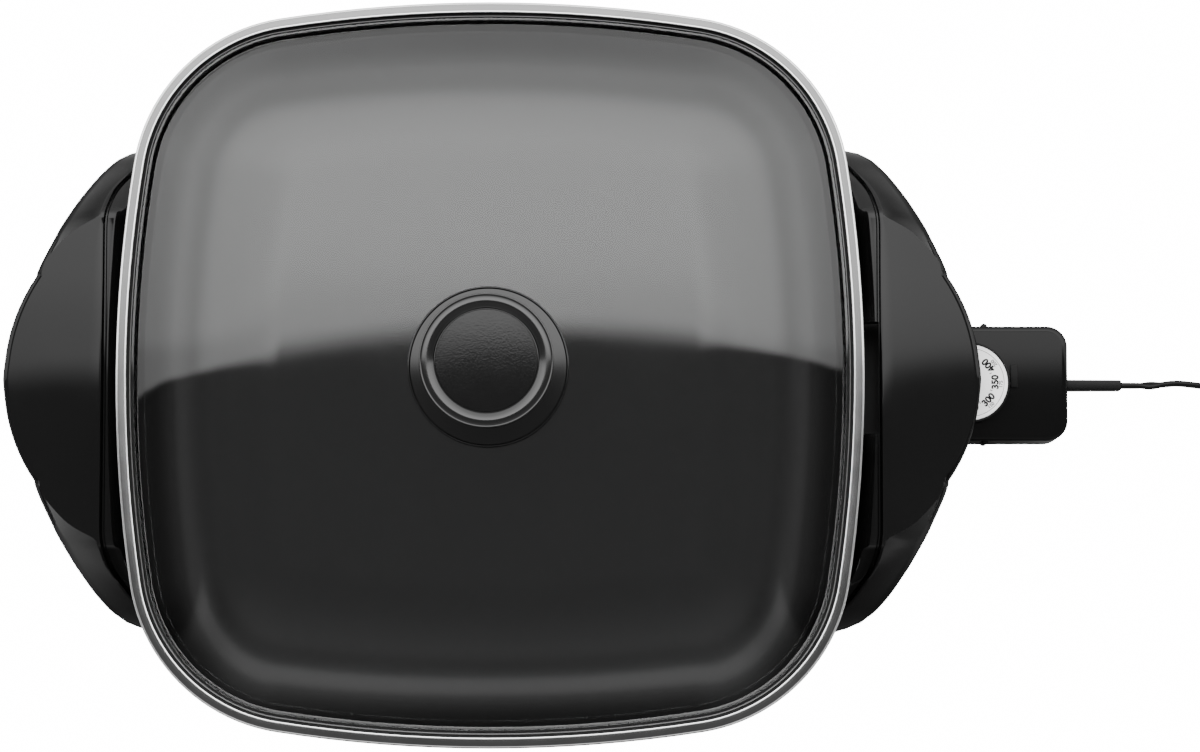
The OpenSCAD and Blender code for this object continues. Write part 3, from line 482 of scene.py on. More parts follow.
def coilPoint(t):
    u = max(0, min(1, (t - cord["turns"] / 2) * 2 + 0.5))
    r = cord["coilR"] - cord["step"] * min(t, cord["turns"] - t) - cord["dip"] * math.sin(math.pi * u) ** 2
    a = math.pi / 2 - 2 * math.pi * t
    rise = cord["layer"] * u * u * (3 - 2 * u)
    return (cord["coilX"] + r * math.cos(a), cord["coilY"] + r * math.sin(a), cord["coilZ"] + rise)


def splinePoint(a, b, c, d, t):
    return (b + (c - a) * t / 2 + (a - 2.5 * b + 2 * c - d / 2) * t * t
            + (1.5 * (b - c) + (d - a) / 2) * t * t * t)


def smoothRoute(points, steps):
    points = [Vector(p) for p in points]
    last = len(points) - 1
    route = []
    for i in range(last):
        for k in range(steps):
            route.append(splinePoint(points[max(i - 1, 0)], points[i], points[i + 1], points[min(i + 2, last)],
                                     k / steps))
    return route + [points[last]]


def cordOutline():
    lobe = cord["thick"] / 2
    side = []
    for v in [-v for v in cord["outline"][:0:-1]] + list(cord["outline"]):
        thick = lobe * math.sqrt(max(0, 1 - ((abs(v) - lobe) / lobe) ** 2))
        side.append((max(thick, cord["web"]) if abs(v) < lobe else thick, v))
    return side + [(-u, v) for u, v in side[-2:0:-1]]


def makeCord():
    rings = round(cord["turns"] * cord["loopRings"])
    coil = [coilPoint(i * cord["turns"] / rings) for i in range(rings + 1)]
    tail = (cord["coilX"] + cord["coilR"], cord["coilY"] - cord["width"], cord["coilZ"] + cord["layer"])
    centres = smoothRoute(cord["route"] + coil + [tail], cord["between"])
    outline = cordOutline()
    points, faces = [], []
    for i, centre in enumerate(centres):
        along = (centres[min(i + 1, len(centres) - 1)] - centres[max(i - 1, 0)]).normalized()
        across = Vector((0, 0, 1)).cross(along).normalized()
        up = along.cross(across)
        span = (centre.x - cord["twistFrom"]) / (cord["twistTo"] - cord["twistFrom"])
        roll = math.radians(cord["twist"]) * math.sin(math.pi * span) ** 2 if 0 < span < 1 else 0
        for u, v in outline:
            su = u * math.cos(roll) - v * math.sin(roll)
            sv = u * math.sin(roll) + v * math.cos(roll)
            points.append((centre + su * across + sv * up) * mm + Vector((reliefEnd, 0, 0)))
    n = len(outline)
    for i in range(len(centres) - 1):
        for j in range(n):
            k = (j + 1) % n
            faces.append((i * n + j, i * n + k, (i + 1) * n + k, (i + 1) * n + j))
    faces.append(tuple(range(n - 1, -1, -1)))
    faces.append(tuple((len(centres) - 1) * n + j for j in range(n)))
    mesh = bpy.data.meshes.new("flatCord")
    mesh.from_pydata(points, [], faces)
    piece = bpy.data.objects.new("flatCord", mesh)
    bpy.context.collection.objects.link(piece)
    choose(piece)
    bpy.ops.object.mode_set(mode="EDIT")
    closePiece(smoothAngle=60)
    path = [tuple(c * mm + Vector((reliefEnd, 0, 0))) for c in centres]
    return piece, path


flatCord, cordPath = makeCord()
finishPiece(flatCord, "control", [cordFinish], ["cord", "cord_coil"])


# tie round the coil's turns

tie = {"thick": 0.6, "corner": 2.0}


def makeTie():
    low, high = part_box("cord_tie")
    piece = addBlock("coilTie", low, high)
    roundEdges(piece, lambda e: runs(e, 1), tie["corner"], 5)
    pick(piece, "FACE", lambda f: abs(f.normal.y) > 0.9)
    bpy.ops.mesh.inset(thickness=tie["thick"] * mm, depth=0)
    bpy.ops.mesh.bridge_edge_loops()
    return closePiece()


coilTie = makeTie()
finishPiece(coilTie, "control", [tieFinish], ["cord_tie"])


# plug

plug = {"neck": 26, "neckStart": 3.2, "neckEnd": 4.6, "corner": 4.0, "edge": 1.2, "ribs": 5, "ribFrom": 3,
        "ribGap": 4.2, "ribWide": 1.6, "ribDeep": 0.5, "steps": 40}


def makePlug():
    low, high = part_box("plug")
    midX, midZ = (low[0] + high[0]) / 2, (low[2] + high[2]) / 2
    bodyStart = high[1] - plug["neck"] * mm
    body = addBlock("mainsPlug", (low[0], low[1], low[2]), (high[0], bodyStart, high[2]))
    roundEdges(body, lambda e: runs(e, 1), plug["corner"], 6)
    roundEdges(body, lambda e: e.calc_face_angle(0) > 1.2, plug["edge"], 3)
    closePiece()
    section = [(0, high[1]), (plug["neckStart"] - 0.4, high[1]), (plug["neckStart"], high[1] - 0.4 * mm)]
    for i in range(plug["ribs"]):
        y = high[1] - (plug["ribFrom"] + plug["ribGap"] * i) * mm
        r = plug["neckStart"] + (plug["neckEnd"] - plug["neckStart"]) * (high[1] - y) / (plug["neck"] * mm)
        wide = plug["ribWide"] * mm
        section += [(r, y), (r - plug["ribDeep"], y - 0.3 * mm),
                    (r - plug["ribDeep"], y - wide + 0.3 * mm), (r + 0.05, y - wide)]
    section += [(plug["neckEnd"], bodyStart), (plug["neckEnd"], bodyStart - 2 * mm), (0, bodyStart - 2 * mm)]
    points = [(midX + r * mm, y, midZ) for r, y in section]
    neck = spinChain("plugNeck", points, plug["steps"], (midX, 0, midZ), (0, 1, 0))
    return joinPieces(body, [neck])


mainsPlug = makePlug()
finishPiece(mainsPlug, "control", [cordFinish], ["plug"])
print("plug and tie made")


# pan

pan = {"rimZ": 93, "rimIn": 1.4, "rimWide": 10.4, "rimThick": 3, "neck": 0.6, "floorZ": 41, "floorIn": 62, "wall": 4,
       "lean": 12, "fillet": 18, "filletSteps": 12, "sunk": 1,
       "earX": 174, "earY": 44, "earZ": 60, "earThick": 6, "earR": 11, "earEdge": 0.6, "earArm": 140, "earSteps": 48,
       "blockFace": 137, "blockLong": 37, "blockWide": 44, "blockHigh": 15, "blockEdge": 1.2, "axisZ": 31,
       "bossR": 6.6, "bossStart": 60, "bossIn": 2, "bossEdge": 0.8, "bossSteps": 32,
       "loopHalf": 90, "loopBend": 30, "bendSteps": 14, "leadY": 11, "leadBend": 18, "leadIn": 4,
       "ridge": 13, "ridgeEdge": 0.8, "ridgeDrop": 0.4}


def wallIn(z):
    return pan["rimWide"] + (pan["rimZ"] - 1 - z) * math.tan(math.radians(pan["lean"]))


def makePan():
    lean, wall, fillet, floorZ = math.radians(pan["lean"]), pan["wall"], pan["fillet"], pan["floorZ"]
    rimZ, rimIn, rimWide = pan["rimZ"], pan["rimIn"], pan["rimWide"]
    filletZ, underZ, lipZ = floorZ + fillet, floorZ - wall, rimZ - pan["rimThick"]
    filletD = wallIn(filletZ - fillet * math.sin(lean)) + fillet * math.cos(lean)
    neckZ = lipZ - pan["neck"]
    section = [(pan["floorIn"], underZ)]
    section += arcPoints(filletD, filletZ, fillet + wall, 270, 180 + pan["lean"], pan["filletSteps"])
    section += [(wallIn(neckZ) - wall / math.cos(lean), neckZ), (rimIn, lipZ), (rimIn, rimZ - 0.8),
                (rimIn + 0.25, rimZ - 0.25), (rimIn + 0.8, rimZ), (rimWide - 1, rimZ), (rimWide - 0.3, rimZ - 0.3),
                (rimWide, rimZ - 1)]
    section += arcPoints(filletD, filletZ, fillet, 180 + pan["lean"], 270, pan["filletSteps"])
    section += [(pan["floorIn"], floorZ)]
    body = sweepRound("panCasting", section)
    capLoop(body, underZ)
    capLoop(body, floorZ)
    closePiece()
    return joinPieces(body, makeEars() + makeBlock() + [makeRidge(underZ)])


# the ears that carry the handles
def makeEars():
    low, high, r, edge = pan["earZ"] - pan["earThick"], pan["earZ"], pan["earR"], pan["earEdge"]
    section = [(0, low), (r - edge, low), (r, low + edge), (r, high - edge), (r - edge, high), (0, high)]
    parts = []
    for sideX, sideY in ((-1, -1), (-1, 1), (1, -1), (1, 1)):
        y = sideY * pan["earY"]
        parts.append(turnPiece("ear", section, at(sideX * pan["earX"], 0, 0).x, y * mm, pan["earSteps"]))
        ends = sorted((sideX * pan["earArm"], sideX * pan["earX"]))
        arm = addBlock("earArm", at(ends[0], y - r, low), at(ends[1], y + r, high))
        roundEdges(arm, lambda e: runs(e, 0), edge, 2)
        parts.append(closePiece())
    return parts


# the cast block behind the terminals and the boss for the probe
def makeBlock():
    face, axisZ, r, edge = pan["blockFace"], pan["axisZ"], pan["bossR"], pan["bossEdge"]
    wide, high = pan["blockWide"] / 2, pan["blockHigh"] / 2
    highZ = axisZ + high + pan["sunk"]
    block = addBlock("castBlock", at(face - pan["blockLong"], -wide, axisZ - high), at(face, wide, highZ))
    roundEdges(block, lambda e: True, pan["blockEdge"], 3)
    closePiece()
    start, end = pan["bossStart"], face - pan["bossIn"]
    outline = [(start, 0), (start, r - edge), (start + edge, r), (end, r), (end, 0)]
    points = [at(x, y, axisZ) for x, y in outline]
    boss = spinChain("probeBoss", points, pan["bossSteps"], at(0, 0, axisZ), (1, 0, 0))
    return [block, boss]


# the ridge under the pan that holds the element: a bar swept along the loop and its two leads
def makeRidge(underZ):
    half, turn, leadY, edge = pan["loopHalf"], pan["leadBend"], pan["leadY"], pan["ridgeEdge"]
    inner, leadX = half - pan["loopBend"], pan["blockFace"] - pan["leadIn"]
    w, low, high = pan["ridge"] / 2, pan["axisZ"] - pan["ridgeDrop"], underZ + pan["sunk"]
    section = [(w, high), (w, low + edge), (w - edge, low), (edge - w, low), (-w, low + edge), (-w, high)]
    drawChain("elementRidge", [at(leadX, leadY + s, z) for s, z in section])
    lead = inner - leadY - turn
    # straight runs (dx, dy) and bends (x and y of the middle, degrees)
    route = ((half + turn - leadX, 0), (half + turn, leadY + turn, -90), (0, lead), (inner, inner, 90),
             (-2 * inner, 0), (-inner, inner, 90), (0, -2 * inner), (-inner, -inner, 90), (2 * inner, 0),
             (inner, -inner, 90), (0, lead), (half + turn, -leadY - turn, -90), (leadX - half - turn, 0))
    for x, y, *degrees in route:
        if degrees:
            bpy.ops.mesh.spin(steps=pan["bendSteps"], angle=-math.radians(degrees[0]), center=at(x, y, 0),
                              axis=(0, 0, 1))
        else:
            extrude((x * mm, y * mm, 0))
    return closePiece()


finishPiece(makePan(), "skillet", [nonstickFinish], ["pan"])
print("pan made")


# handles, in millimetres from the pan's middle. The tables run along y from the middle of the wing to one foot: the
# inner and the outer edge (y, x, z), the crease between plate and arm (y, x), the arm's crown (y, rise), the apron's
# edge by the lid (y, x, z) and how far the underside lies below the wing at three places (y, inside, middle, outside).
# Each plate leans a little along y.

wing = {
    "edge": 166, "tip": 210, "z": 77, "r": 76, "kinkY": 44, "tipY": 70, "endY": 107, "fall": 0.115, "curl": 0.0018,
    "leanLeft": 0.0026, "leanRight": 0.0062,
    "footX": 153, "footY": 100, "footR": 6, "foot": 1, "groove": 2.4, "point": 0.4, "pointWide": 8, "lipIn": 2.6,
    "bossX": 174, "bossY": 44, "bossR": 6, "bossLow": 60, "bossHigh": 70, "wayWide": 48,
    "padSteps": 40, "smooth": 32, "ringGap": 4, "wingRings": 12, "creaseRings": 18, "armRings": 20,
    "inner": ((0, 166, 77), (62, 166, 77), (66, 165.95, 77), (70, 165.6, 77), (75, 164.7, 73), (80, 163.2, 68),
              (84, 161.2, 63.6), (88, 158.4, 59), (93, 155, 52), (100, 149, 42), (104.5, 146, 30), (107, 144, 12)),
    "crease": ((44, 193.4), (50, 191.7), (54, 188.6), (58, 185), (62, 180.8), (65, 176.3), (67.5, 171.6), (69.5, 168),
               (70, 167.5)),
    "outer": ((44, 195.97, 71.4), (50, 194.2, 67), (56, 191.8, 63.6), (62, 189.2, 60.5), (65.5, 187.7, 58.8),
              (70, 185.4, 56.5), (75, 182.7, 53.4), (80, 179.9, 50), (85.5, 176.4, 46), (88, 174.8, 44),
              (92.8, 171.4, 39.6), (96, 168.7, 36.8), (99, 165.9, 34), (102, 162, 29), (103.5, 160.1, 25),
              (104.5, 157.8, 22), (105.5, 155, 18), (106.5, 152, 12), (107, 150.4, 8)),
    "crown": ((0, 0), (44, 0), (50, 0.2), (62, 0.8), (70, 1.6), (80, 1.8), (88, 1.4), (93, 1.0), (100, 0.6),
              (107, 0.3)),
    "apron": ((0, 157.4, 62.6), (20, 157.06, 62.6), (40, 156.03, 62.6), (50, 155.26, 62.6), (62, 154.1, 62.6),
              (70, 152.7, 61), (80, 152.4, 56), (88, 150, 49), (93, 148.5, 44), (100, 145.5, 36), (104.5, 144, 26),
              (107, 143, 10)),
    "under": ((0, 11, 10, 14), (20, 11, 10, 13.6), (36, 11, 10, 13), (44, 11, 11.5, 14), (50, 12, 13, 19),
              (62, 14, 18, 26), (70, 18, 24, 31), (80, 31, 34, 39), (88, 46, 48, 51), (93, 76, 76, 76),
              (107, 76, 76, 76)),
}


# a smooth curve through one column of a table, which never overshoots the table's points
def follow(table, y, column=1):
    last = len(table) - 1
    i = max(0, min(last - 1, sum(1 for row in table if row[0] <= y) - 1))
    rates = [(b[column] - a[column]) / (b[0] - a[0]) for a, b in zip(table, table[1:])]

    def rate(k):
        if k in (0, last):
            return rates[min(k, last - 1)]
        a, b = rates[k - 1], rates[k]
        return 2 * a * b / (a + b) if a * b > 0 else 0

    wide = table[i + 1][0] - table[i][0]
    low, high = table[i][column], table[i + 1][column]
    t = (y - table[i][0]) / wide
    return (low + (high - low) * t * t * (3 - 2 * t)
            + wide * (rate(i) * t * (1 - t) ** 2 - rate(i + 1) * t * t * (1 - t)))


def plateZ(x):
    along = x - wing["edge"]
    return wing["z"] - wing["fall"] * along - wing["curl"] * along * along


# where the rings of a handle lie: far apart on the wing, close along the crease and the arm
def ringPlaces():
    half = [wing["ringGap"] * i for i in range(wing["wingRings"])]
    for start, end, count in (("kinkY", "tipY", wing["creaseRings"]), ("tipY", "endY", wing["armRings"])):
        half += [wing[start] + (wing[end] - wing[start]) * i / count for i in range(1, count + 1)]
    return [-y for y in reversed(half[1:])] + half


# points on a curve from a to c that leaves and arrives along the lines to b
def curvePoints(a, b, c, steps):
    out = []
    for i in range(steps + 1):
        t = i / steps
        out.append(tuple((1 - t) ** 2 * p + 2 * t * (1 - t) * q + t * t * r for p, q, r in zip(a, b, c)))
    return out


# one ring of the handle's skin: apron, groove, inner edge, plate, crease, arm, outer edge, underside
def handleRing(side, lean):
    y = abs(side)
    ix, iz = follow(wing["inner"], y), follow(wing["inner"], y, 2)
    if y <= wing["kinkY"]:
        ox = wing["tip"] - wing["r"] + math.sqrt(wing["r"] ** 2 - y * y)
        ox -= wing["point"] * min(1, y / wing["pointWide"])
        oz, cx = plateZ(ox - 2) - 1, ox - wing["lipIn"]
    else:
        ox, oz = follow(wing["outer"], y), follow(wing["outer"], y, 2)
        cx = follow(wing["crease"], y) if y < wing["tipY"] else ix + 1.9
    sink = iz - wing["z"] - lean * side
    under = [max(wing["foot"], wing["z"] - follow(wing["under"], y, k)) for k in (1, 2, 3)]
    ax, az = follow(wing["apron"], y), follow(wing["apron"], y, 2)
    grooveZ = iz - wing["groove"]
    ring = [(ax + 1.4, max(wing["foot"], az - 2)), (ax + 0.35, max(wing["foot"] + 0.3, az - 1))]
    ring += curvePoints((ax, az), (ax + 0.12 * (ix - ax), grooveZ + 0.2), (ix - 1.3, grooveZ + 0.4), 7)
    ring += [(ix - 0.75, grooveZ - 0.3), (ix - 0.2, grooveZ - 0.3), (ix + 0.05, iz - 1.1), (ix + 0.4, iz - 0.5)]
    start, top = ix + 1.5, plateZ(cx) + sink
    ring += [(ix + 0.85, plateZ(ix + 0.85) + sink - 0.12)]
    for share in (0, 0.12, 0.3, 0.5, 0.7, 0.88):
        x = start + (cx - start) * share
        ring.append((x, plateZ(x) + sink))
    near = min(0.25, (cx - start) / 20)
    ring += [(cx - near, plateZ(cx - near) + sink), (cx, top)]
    rise = follow(wing["crown"], y)
    for share in (0.03, 0.12, 0.28, 0.5, 0.72, 0.88, 1):
        ring.append((cx + (ox - 2 - cx) * share, top + (oz + 1 - top) * share + 4 * rise * share * (1 - share)))
    ring += [(ox - 1.15, oz + 0.5), (ox - 0.5, oz - 0.2), (ox - 0.12, oz - 0.9), (ox, oz - 1.6)]
    ring += [(ox - 2.3, under[2] + 0.7), (ox - 3, under[2]), ((ix + ox) / 2, under[1]), (ix + 1.5, under[0])]
    return [(x, side, z) for x, z in ring]


def spotOf(point):
    return tuple(round(c * 1e5) for c in point)


def makeHandle(name, side):
    lean = wing["leanLeft"] if side < 0 else wing["leanRight"]
    rings = [[at(side * x, y, z) for x, y, z in handleRing(place, lean)] for place in ringPlaces()]
    piece = drawChain(name, rings[0])
    bpy.ops.mesh.edge_face_add()
    bpy.ops.mesh.select_mode(type="FACE")
    for before, after in zip(rings, rings[1:]):
        extrude((0, 0, 0))
        shape = bmesh.from_edit_mesh(piece.data)
        spots = {spotOf(p): q for p, q in zip(before, after)}
        for vert in [v for v in shape.verts if v.select]:
            vert.co = spots[spotOf(vert.co)]
        bmesh.update_edit_mesh(piece.data)
    closePiece()
    low, high, r, pad = wing["bossLow"], wing["bossHigh"], wing["bossR"], wing["footR"]
    if side > 0:      # the way for the control through the apron
        wide = wing["wayWide"] / 2
        cutter = addBlock("apronWay", at(wing["apron"][0][1] - 1, -wide, low), at(wing["edge"] - 0.4, wide, wing["z"]))
        closePiece()
        applyModifier(piece, "BOOLEAN", operation="DIFFERENCE", object=cutter, solver="EXACT")
        bpy.data.objects.remove(cutter)
    boss = [(0, low), (r - 0.4, low), (r, low + 0.4), (r, high), (0, high)]
    foot = [(0, 0), (pad - 0.9, 0), (pad - 0.25, 0.3), (pad, 1), (pad, 5), (0, 5)]
    parts = []
    for sideY in (-1, 1):
        for label, section, key in (("screwBoss", boss, "boss"), ("footPad", foot, "foot")):
            x, y = at(side * wing[key + "X"], sideY * wing[key + "Y"], 0).xy
            parts.append(turnPiece(label, section, x, y, wing["padSteps"]))
    piece = joinPieces(piece, parts)
    bpy.ops.object.shade_smooth_by_angle(angle=math.radians(wing["smooth"]))
    return piece


for sideName, side in (("left", -1), ("right", 1)):
    handle = makeHandle(sideName + "Handle", side)
    finishPiece(handle, "skillet", [handleFinish], [sideName + "_handle"])
print("handles made")


# lid: glass, steel rim and seal

lid = {"glassIn": 2.2, "glassThick": 4, "flangeZ": 98.4, "glassTop": 126.9, "flangeIn": 6.9, "footSlope": 42,
       "fade": 0.74, "steps": 44, "toe": 0.5, "toeShares": (0.3, 0.7), "flat": 1.2,
       "rimTop": 100.4, "rimWide": 4.7, "rimThick": 0.9, "rimRoll": 1.5, "rimTilt": 14, "beadIn": 3.75, "skirtZ": 90.5,
       "sealThick": 1.1, "sealIn": 1.0, "sealLip": 6.5, "sealBead": 0.42, "sealUnder": 8.4,
       "sealGap": 0.02}


# the glass rises from its flange in a slope that fades out towards the flat middle
def shoulderPoints():
    steps, toe = lid["steps"], lid["toe"]
    slopes = [math.radians(lid["footSlope"]) * (1 - (i + 0.5) / steps) ** lid["fade"] for i in range(steps)]
    toeSlopes = [slopes[0] * share for share in lid["toeShares"]]
    rise = lid["glassTop"] - lid["flangeZ"] - sum(toe * math.sin(a) for a in toeSlopes)
    stride = rise / sum(math.sin(a) for a in slopes)
    points = [(lid["flangeIn"], lid["flangeZ"])]
    for length, slope in [(toe, a) for a in toeSlopes] + [(stride, a) for a in slopes]:
        points.append((points[-1][0] + length * math.cos(slope), points[-1][1] + length * math.sin(slope)))
    return points


def makeGlassShell():
    piece = sweepRound("lidGlass", [(lid["glassIn"], lid["flangeZ"])] + shoulderPoints())
    capLoop(piece, lid["glassTop"])
    pick(piece, "FACE", lambda f: len(f.verts) > 4)
    bpy.ops.mesh.inset(thickness=lid["flat"] * mm, depth=0)      # keeps the flat middle flat under smooth shading
    closePiece(smoothAngle=30)
    applyModifier(piece, "SOLIDIFY", thickness=lid["glassThick"] * mm, offset=-1, use_even_offset=True)
    return piece


# the rim's skirt and outer roll, a brushed band that falls outwards, and a bead along its inner edge; the band later
# takes a much darker steel colour, which is painted shade
def makeRim():
    tilt, roll, wide = math.radians(lid["rimTilt"]), lid["rimRoll"], lid["rimWide"]
    bead = (wide - lid["beadIn"]) / 2
    bandZ = lid["rimTop"] - 0.25
    shareX = roll * (1 - math.sin(tilt))
    rollZ = bandZ - math.tan(tilt) * 0.5 * (lid["beadIn"] - shareX) - roll * math.cos(tilt)
    section = [(lid["rimThick"], lid["skirtZ"]), (0.15, lid["skirtZ"]), (0, lid["skirtZ"] + 0.15)]
    section += arcPoints(roll, rollZ, roll, 180, 90 + lid["rimTilt"], 10)
    outX, outZ = section[-1]
    inX = lid["beadIn"]
    section += curvePoints((outX, outZ), ((outX + inX) / 2, bandZ - 0.02), (inX, bandZ), 8)[1:]
    section += arcPoints(inX + bead, bandZ, bead, 150, 20, 10)
    section += [(wide, bandZ - 0.3), (wide, bandZ - lid["rimThick"])]
    section += arcPoints(roll, rollZ, roll - lid["rimThick"], 90, 180, 5)
    section += [(lid["rimThick"], lid["skirtZ"])]
    sweepRound("lidRim", section)
    return closePiece(smoothAngle=40)


# how far a point lies in from the lid's edge
def insetOf(point):
    x, y = abs(point.x - panX) / mm, abs(point.y) / mm
    fromCorner = Vector((x - plan["cornerAt"], y - plan["cornerAt"]))
    turn = math.atan2(fromCorner.y, fromCorner.x)
    if plan["seam"] <= turn <= math.pi / 2 - plan["seam"]:
        return plan["cornerR"] - fromCorner.length
    far, near = max(x, y), min(x, y)
    return plan["half"] - (math.hypot(far + plan["throw"], near) - plan["throw"])


def makeSeal():
    top, lip, bead, gap = lid["flangeZ"], lid["sealLip"], lid["sealBead"], lid["sealGap"]
    glassZ = top - lid["glassThick"]
    lowZ, inX, underX = glassZ - lid["sealThick"], lid["sealIn"], lid["sealUnder"]
    glassX, rimX = lid["glassIn"] - 0.1, lid["rimWide"]
    section = [(inX, lowZ), (underX - 0.4, lowZ), (underX, lowZ + 0.4), (underX, glassZ - gap),
               (glassX, glassZ - gap), (glassX, top + gap), (lip, top + gap)]
    section += arcPoints(lip - bead, top + 0.35, bead, 0, 180, 12)
    section += [(lip - 2 * bead - 0.1, top + 0.08), (rimX + 0.2, top + 0.08), (rimX - 0.4, top + 0.3),
                (lid["rimRoll"] + 0.6, top + 0.3), (inX, top - 0.9), (inX, lowZ)]
    sweepRound("lidSeal", section)
    return closePiece(smoothAngle=40)


finishPiece(makeGlassShell(), "lid", [glassFinish], ["lid_glass"])
lidRim = makeRim()
finishPiece(lidRim, "lid", [rimFinish, brushedPaintedShadeFinish], ["lid_rim"])
# the band's upward faces take the darker brushed copy of the steel: painted shade on the rim's top
markFaces(lidRim, lambda f: f.normal.z > 0.8 and 1.0 < insetOf(f.center) < lid["beadIn"])
lidSeal = makeSeal()
finishPiece(lidSeal, "lid", [sealFinish, beadFinish], ["lid_seal"])
markFaces(lidSeal, lambda f: f.normal.z > 0.3 and f.center.z > (lid["flangeZ"] + 0.4) * mm
          and insetOf(f.center) > lid["rimWide"] + 0.5)
print("lid made")


# knob: a flange with a neck, and a grip with a pebbled disc inside its lip

knob = {"baseZ": 127.7, "baseR": 33.5, "bead": 0.5, "gripZ": 139.7, "neckR": 15, "top": 159.9, "gripR": 27.6,
        "discR": 21.2, "discEdge": 0.35, "lip": 1.4, "dome": 0.06, "crestR": 24.4, "flankR": 0.45, "hole": 2.7,
        "insertR": 5.55, "insertHigh": 12, "steps": 128}


def makeKnobBase():
    z, r, neck, top = knob["baseZ"], knob["baseR"], knob["neckR"], knob["gripZ"]
    section = [(knob["hole"], z), (r - 0.8, z), (r - 0.2, z + 0.2), (r, z + 0.8)]
    section += arcPoints(r - knob["bead"], z + 1.5, knob["bead"], 0, 150, 10)
    section += [(r - 2.2 * knob["bead"], z + 1.55)]
    section += arcPoints(neck + 8, top - 1, 8, 262, 180, 12)
    section += [(neck, top), (knob["hole"], top), (knob["hole"], z)]
    return turnPiece("knobFlange", section, panX, 0, knob["steps"])


def makeKnob():
    z, top, neck, grip = knob["gripZ"], knob["top"], knob["neckR"], knob["gripR"]
    crest, flank, disc, insert = knob["crestR"], knob["flankR"], knob["discR"], knob["insertR"]
    floorZ, flatR = top - knob["lip"], disc - knob["discEdge"]
    section = [(insert, z), (neck, z)]
    section += arcPoints(neck + 9, z + 1, 9, 180, 128, 8)
    section += [(grip - 1.6, top - 13.2), (grip - 0.5, top - 11.6)]
    section += arcPoints(grip - flank, top - flank - 0.4, flank, -14, 120, 10)
    section += [(grip - 2.3 * flank, top - flank - 0.25)]
    section += curvePoints(section[-1], (crest + 1.4, top), (crest, top), 7)[1:]
    section += curvePoints((crest, top), (crest - 0.7, top - 0.06), (disc + 0.75, floorZ + 0.35), 7)[1:]
    section += [(disc + 0.3, floorZ), (disc + 0.1, floorZ - 0.3), (disc - 0.12, floorZ - 0.25), (flatR, floorZ)]
    for share in (0.85, 0.7, 0.55, 0.4, 0.25, 0.1, 0):
        section.append((flatR * share, floorZ + knob["dome"] * (1 - share * share)))
    section += [(0, z + knob["insertHigh"]), (insert, z + knob["insertHigh"]), (insert, z)]
    return turnPiece("knobGrip", section, panX, 0, knob["steps"])


finishPiece(makeKnobBase(), "lid", [flangeFinish], ["knob_base"])
knobGrip = makeKnob()
finishPiece(knobGrip, "lid", [knobFinish, pebbledFinish], ["knob"])
discFlat = (knob["discR"] - knob["discEdge"]) * mm
markFaces(knobGrip, lambda f: f.normal.z > 0.95 and math.hypot(f.center.x - panX, f.center.y) < discFlat)
print("knob made")


# control: two shells, the index tab beside the dial and two pips

control = {"low": (176, -25, 17.5), "high": (249.6, 25, 44.5), "seamZ": 31, "corner": 9, "edge": 2.4, "seam": 0.25,
           "flat": 0.15, "lean": 0.004, "tabX": (224.4, 227.8), "tabY": (-2, 8), "tabHigh": 1.2, "tabSunk": 0.4,
           "tabEdge": 0.35, "pipX": 213.6, "pipR": 1.5, "pipHigh": 10, "pipEdge": 0.6, "pipSteps": 24, "inkAbove": 0.4}


def rimAt(z):
    return lambda e: abs(middle(e).z - z * mm) < 1e-5 and e.calc_face_angle(0) > 1


def makeShell(name, lowZ, highZ, upper):
    low, high = control["low"], control["high"]
    piece = addBlock(name, at(low[0], low[1], lowZ), at(high[0], high[1], highZ))
    roundEdges(piece, lambda e: runs(e, 2), control["corner"], 14)
    outer, seam = (highZ, lowZ) if upper else (lowZ, highZ)
    roundEdges(piece, rimAt(outer), control["edge"], 6)
    roundEdges(piece, rimAt(seam), control["seam"], 2)
    pick(piece, "FACE", lambda f: abs(f.normal.z) > 0.999)
    bpy.ops.mesh.inset(thickness=control["flat"] * mm, depth=0)      # keeps the flat faces flat under smooth shading
    if upper:
        pick(piece, "FACE", lambda f: f.normal.z > 0.999)
        bpy.ops.transform.rotate(value=control["lean"], orient_axis="X", center_override=at(0, 0, highZ))
    return closePiece()


def makeControlTop():
    topZ, lowZ, r, edge = control["high"][2], control["seamZ"], control["pipR"], control["pipEdge"]
    shell = makeShell("controlTop", lowZ, topZ, upper=True)
    (x0, x1), (y0, y1) = control["tabX"], control["tabY"]
    tab = addBlock("indexTab", at(x0, y0, topZ - control["tabSunk"]), at(x1, y1, topZ + control["tabHigh"]))
    roundEdges(tab, lambda e: middle(e).z > topZ * mm, control["tabEdge"], 3)
    closePiece()
    highZ = lowZ + control["pipHigh"]
    section = [(0, lowZ), (r, lowZ), (r, highZ - edge), (r - edge, highZ), (0, highZ)]
    pipX = at(control["pipX"], 0, 0).x
    sides = (control["low"][1], control["high"][1])
    pips = [turnPiece("pip", section, pipX, y * mm, control["pipSteps"]) for y in sides]
    return joinPieces(shell, [tab] + pips)


controlTop = makeControlTop()
finishPiece(controlTop, "control", [controlFinish, inkFinish], ["control_top"])
markFaces(controlTop, lambda f: f.center.z > (control["high"][2] + control["inkAbove"]) * mm)
controlBottom = makeShell("controlBottom", control["low"][2], control["seamZ"], upper=False)
finishPiece(controlBottom, "control", [controlFinish], ["control_bottom"])


# strain relief: a tapered block with rounded edges

relief = {"grip": 7.5, "startHigh": 5.4, "endHigh": 3.8, "round": 0.8}


def makeRelief():
    low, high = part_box("strain_relief")
    midZ = (low[2] + high[2]) / 2
    inX = low[0] + relief["grip"] * mm
    outline = [(low[0], relief["startHigh"]), (inX, relief["startHigh"]), (high[0], relief["endHigh"])]
    ring = [(x, low[1], midZ + h * mm) for x, h in outline]
    ring += [(x, low[1], midZ - h * mm) for x, h in reversed(outline)]
    piece = drawChain("strainRelief", ring)
    bpy.ops.mesh.edge_face_add()
    extrude((0, high[1] - low[1], 0))
    roundEdges(piece, lambda e: e.calc_face_angle(0) > 1, relief["round"], 4)
    return closePiece()


